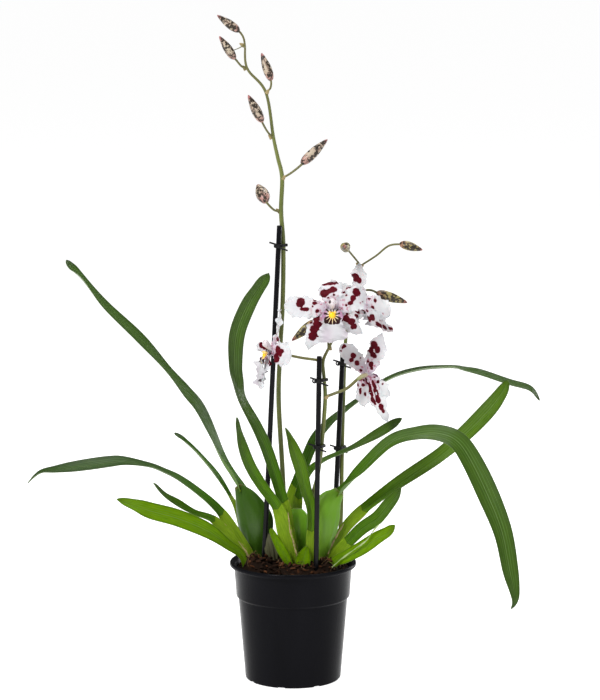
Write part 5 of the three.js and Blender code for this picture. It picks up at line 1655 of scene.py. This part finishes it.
def lip_marks(run, aside):
    """Marks round the callus, from the distance to it and the angle off the lip's midline.

    The band is a fan whose edge is a sine of nine times the turn, cut off straight in front. The
    stripes beside it follow a cosine of eleven times the angle, and the side lobes are lilac.
    """
    reach = np.hypot(run, aside)
    turn = np.arctan2(aside, run)
    angle = np.abs(turn)
    edge = BAND_REACH + 0.7 * np.sin(9 * turn + 1)
    fan = np.minimum(np.minimum(reach - 2, edge - reach), BAND_FRONT - run)
    fan = np.minimum(fan, (1.35 - angle) * reach)
    stripes = np.minimum(np.minimum(reach - 2.6, 8 - reach), 1.3 * np.cos(11 * angle) - 0.1)
    band = np.where(angle < 1.15, fan, stripes)
    lilac = smooth((np.abs(aside) - 3.5) / 3) * smooth((7 - run) / 5)
    return band, np.maximum(lilac, 0.25 * smooth((run - 8) / 8) * (0.5 + 0.5 * np.sin(aside / 3)))


def lip_sheet(bloom):
    """The lip's blade: a width from an outline, a ruffled margin and a notch at the end.

    The ruffle is two sine waves that grow as |k|^2.5, and the notch is a bell curve across.
    """
    s = tip_places(LIP_ROWS, LIP_TIP)
    length, wide = bloom["lip"][1:3]
    stations = line(petal_line(bloom, bloom["lip"], LIP_FORWARD), s)
    closing = np.sqrt(1 - np.clip((s - 1 + LIP_TIP) / LIP_TIP, 0, 1) ** 2)
    place, share = np.array(LIP_OUTLINE).T
    frill = 1 + LIP_FRILL * np.sin(38 * s) * smooth(3 * s - 1)
    half = np.maximum(wide * np.interp(s, place, share) * frill * closing, NARROWEST)[:, None] / 2

    def ruffle(s, k):
        waves = np.sin(13 * s + 2.4 * k) + 0.6 * np.sin(39 * s + 4 * k)
        return np.abs(k) ** 2.5 * LIP_RUFFLE * smooth(2 * s) * waves

    def fold(s):
        return 20 - 34 * s

    out = bloom_axes(bloom)[0]
    grid, ring, _ = blade(stations, s, half, out, 1, fold, ruffle, 1.0, 0.4, LIP_COLUMNS)
    notch = LIP_NOTCH * np.exp(-((ring / 0.3) ** 2)) * smooth((s[:, None] - 0.75) * 4)
    grid = grid - headings(stations[:, :3])[:, None] * notch[..., None]
    run = np.broadcast_to(s[:, None] * length, grid.shape[:2])
    return grid, run, ring * half, out


def on_sheet(grid, run, aside, along, beside):
    """Points of the upper skin at ways along and beside, mixed from its four nearest points."""
    row = np.interp(along, run[:, 0], np.arange(len(run)))
    r = np.minimum(row.astype(int), len(run) - 2)
    columns = grid.shape[1] // 2
    column = [np.interp(b, aside[i, :columns], np.arange(columns)) for i, b in zip(r, beside)]
    c = np.minimum(np.array(column).astype(int), columns - 2)
    u = (row - r)[:, None]
    v = (np.array(column) - c)[:, None]
    return mix(mix(grid[r, c], grid[r, c + 1], v), mix(grid[r + 1, c], grid[r + 1, c + 1], v), u)


print("the lip is widest at", max(LIP_OUTLINE, key=lambda row: row[1])[0], "of its length")

# %% The callus
RAYS = 9
RAY_SPREAD = 105  # degrees to each side
RAY_LENGTHS = (4.4, 5.2, 6.4, 7.4, 8.4, 7.8, 6.6, 5.4, 4.4)
RAY_RADIUS = 0.62
CALLUS_RADIUS = 3.1


def callus_skins(grid, run, aside, out):
    """A yellow bump, two small knobs above it, and ridges that fan out along the lip from it.

    A ridge's radius shrinks evenly, and its height over the lip is 0.2 + 1.2 (1 - way)^2.
    """
    skins = []
    middle = on_sheet(grid, run, aside, np.array([CALLUS_PLACE]), np.array([0.0]))[0]
    steps = np.linspace(0, 1, 9)
    for turn, length in zip(np.radians(np.linspace(-RAY_SPREAD, RAY_SPREAD, RAYS)), RAY_LENGTHS):
        reach = 0.5 + length * steps
        spots = on_sheet(grid, run, aside, CALLUS_PLACE + reach * np.cos(turn), reach * np.sin(turn))
        spots = spots + out * (0.2 + 1.2 * (1 - steps) ** 2)[:, None]
        ray, share = tube(np.column_stack([spots, RAY_RADIUS * (1.05 - 0.75 * steps)]), 16, 8, toward=out)
        skins.append(skin(ray, part=1, along=share))
    skins.append(round_skin(middle + 1.2 * out, out, 2.2, CALLUS_RADIUS, 1, along=0.0))
    side = np.cross(out, UP)
    for hand in (-1, 1):
        knob = middle + 1.2 * out + 2.6 * UP + hand * 2.4 * side
        skins.append(round_skin(knob, out, 2, 1.2, 1, along=0.3))
    return skins


print("the longest ray is", max(RAY_LENGTHS), "mm")

# %% The lips' finishes
lip_white = Finish("lip_white", Roughness=0.45, Specular_IOR_Level=0.25)
lip_base = lip_white.blend(lip_white.grain(90, 3), (206, 207, 206), (178, 175, 183))
lip_base = lip_white.blend(lip_white.mark("tint"), lip_base, (162, 122, 150))
lip_fray = lip_white.math("MULTIPLY", lip_white.math("SUBTRACT", lip_white.grain(520, 3), 0.5), 1.2)
band = lip_white.fade(lip_white.math("ADD", lip_white.mark("blotch"), lip_fray), -0.06, 0.12)
lip_white.colour(band, lip_base, (38, 2, 3))
lip_white.relief(lip_white.grain(1100, 2), 0.00006)
yellow_callus = Finish("yellow_callus", Roughness=0.35)
yellow_callus.colour(yellow_callus.mark("along"), (252, 196, 6), (236, 224, 196))

print("white lip:", len(lip_white.tree.nodes), "nodes")

# %% The four lips
for name, bloom in BLOOMS.items():
    grid, run, aside, out = lip_sheet(bloom)
    band_mark, lilac_mark = lip_marks(run - CALLUS_PLACE, aside)
    sheet = skin(grid, blotch=band_mark, tint=lilac_mark)
    skins = [sheet] + callus_skins(grid, run, aside, out)
    finishes = [lip_white, yellow_callus]
    build(f"lip_{name}", skins, finishes, "lip", f"bloom_{name}_lip")
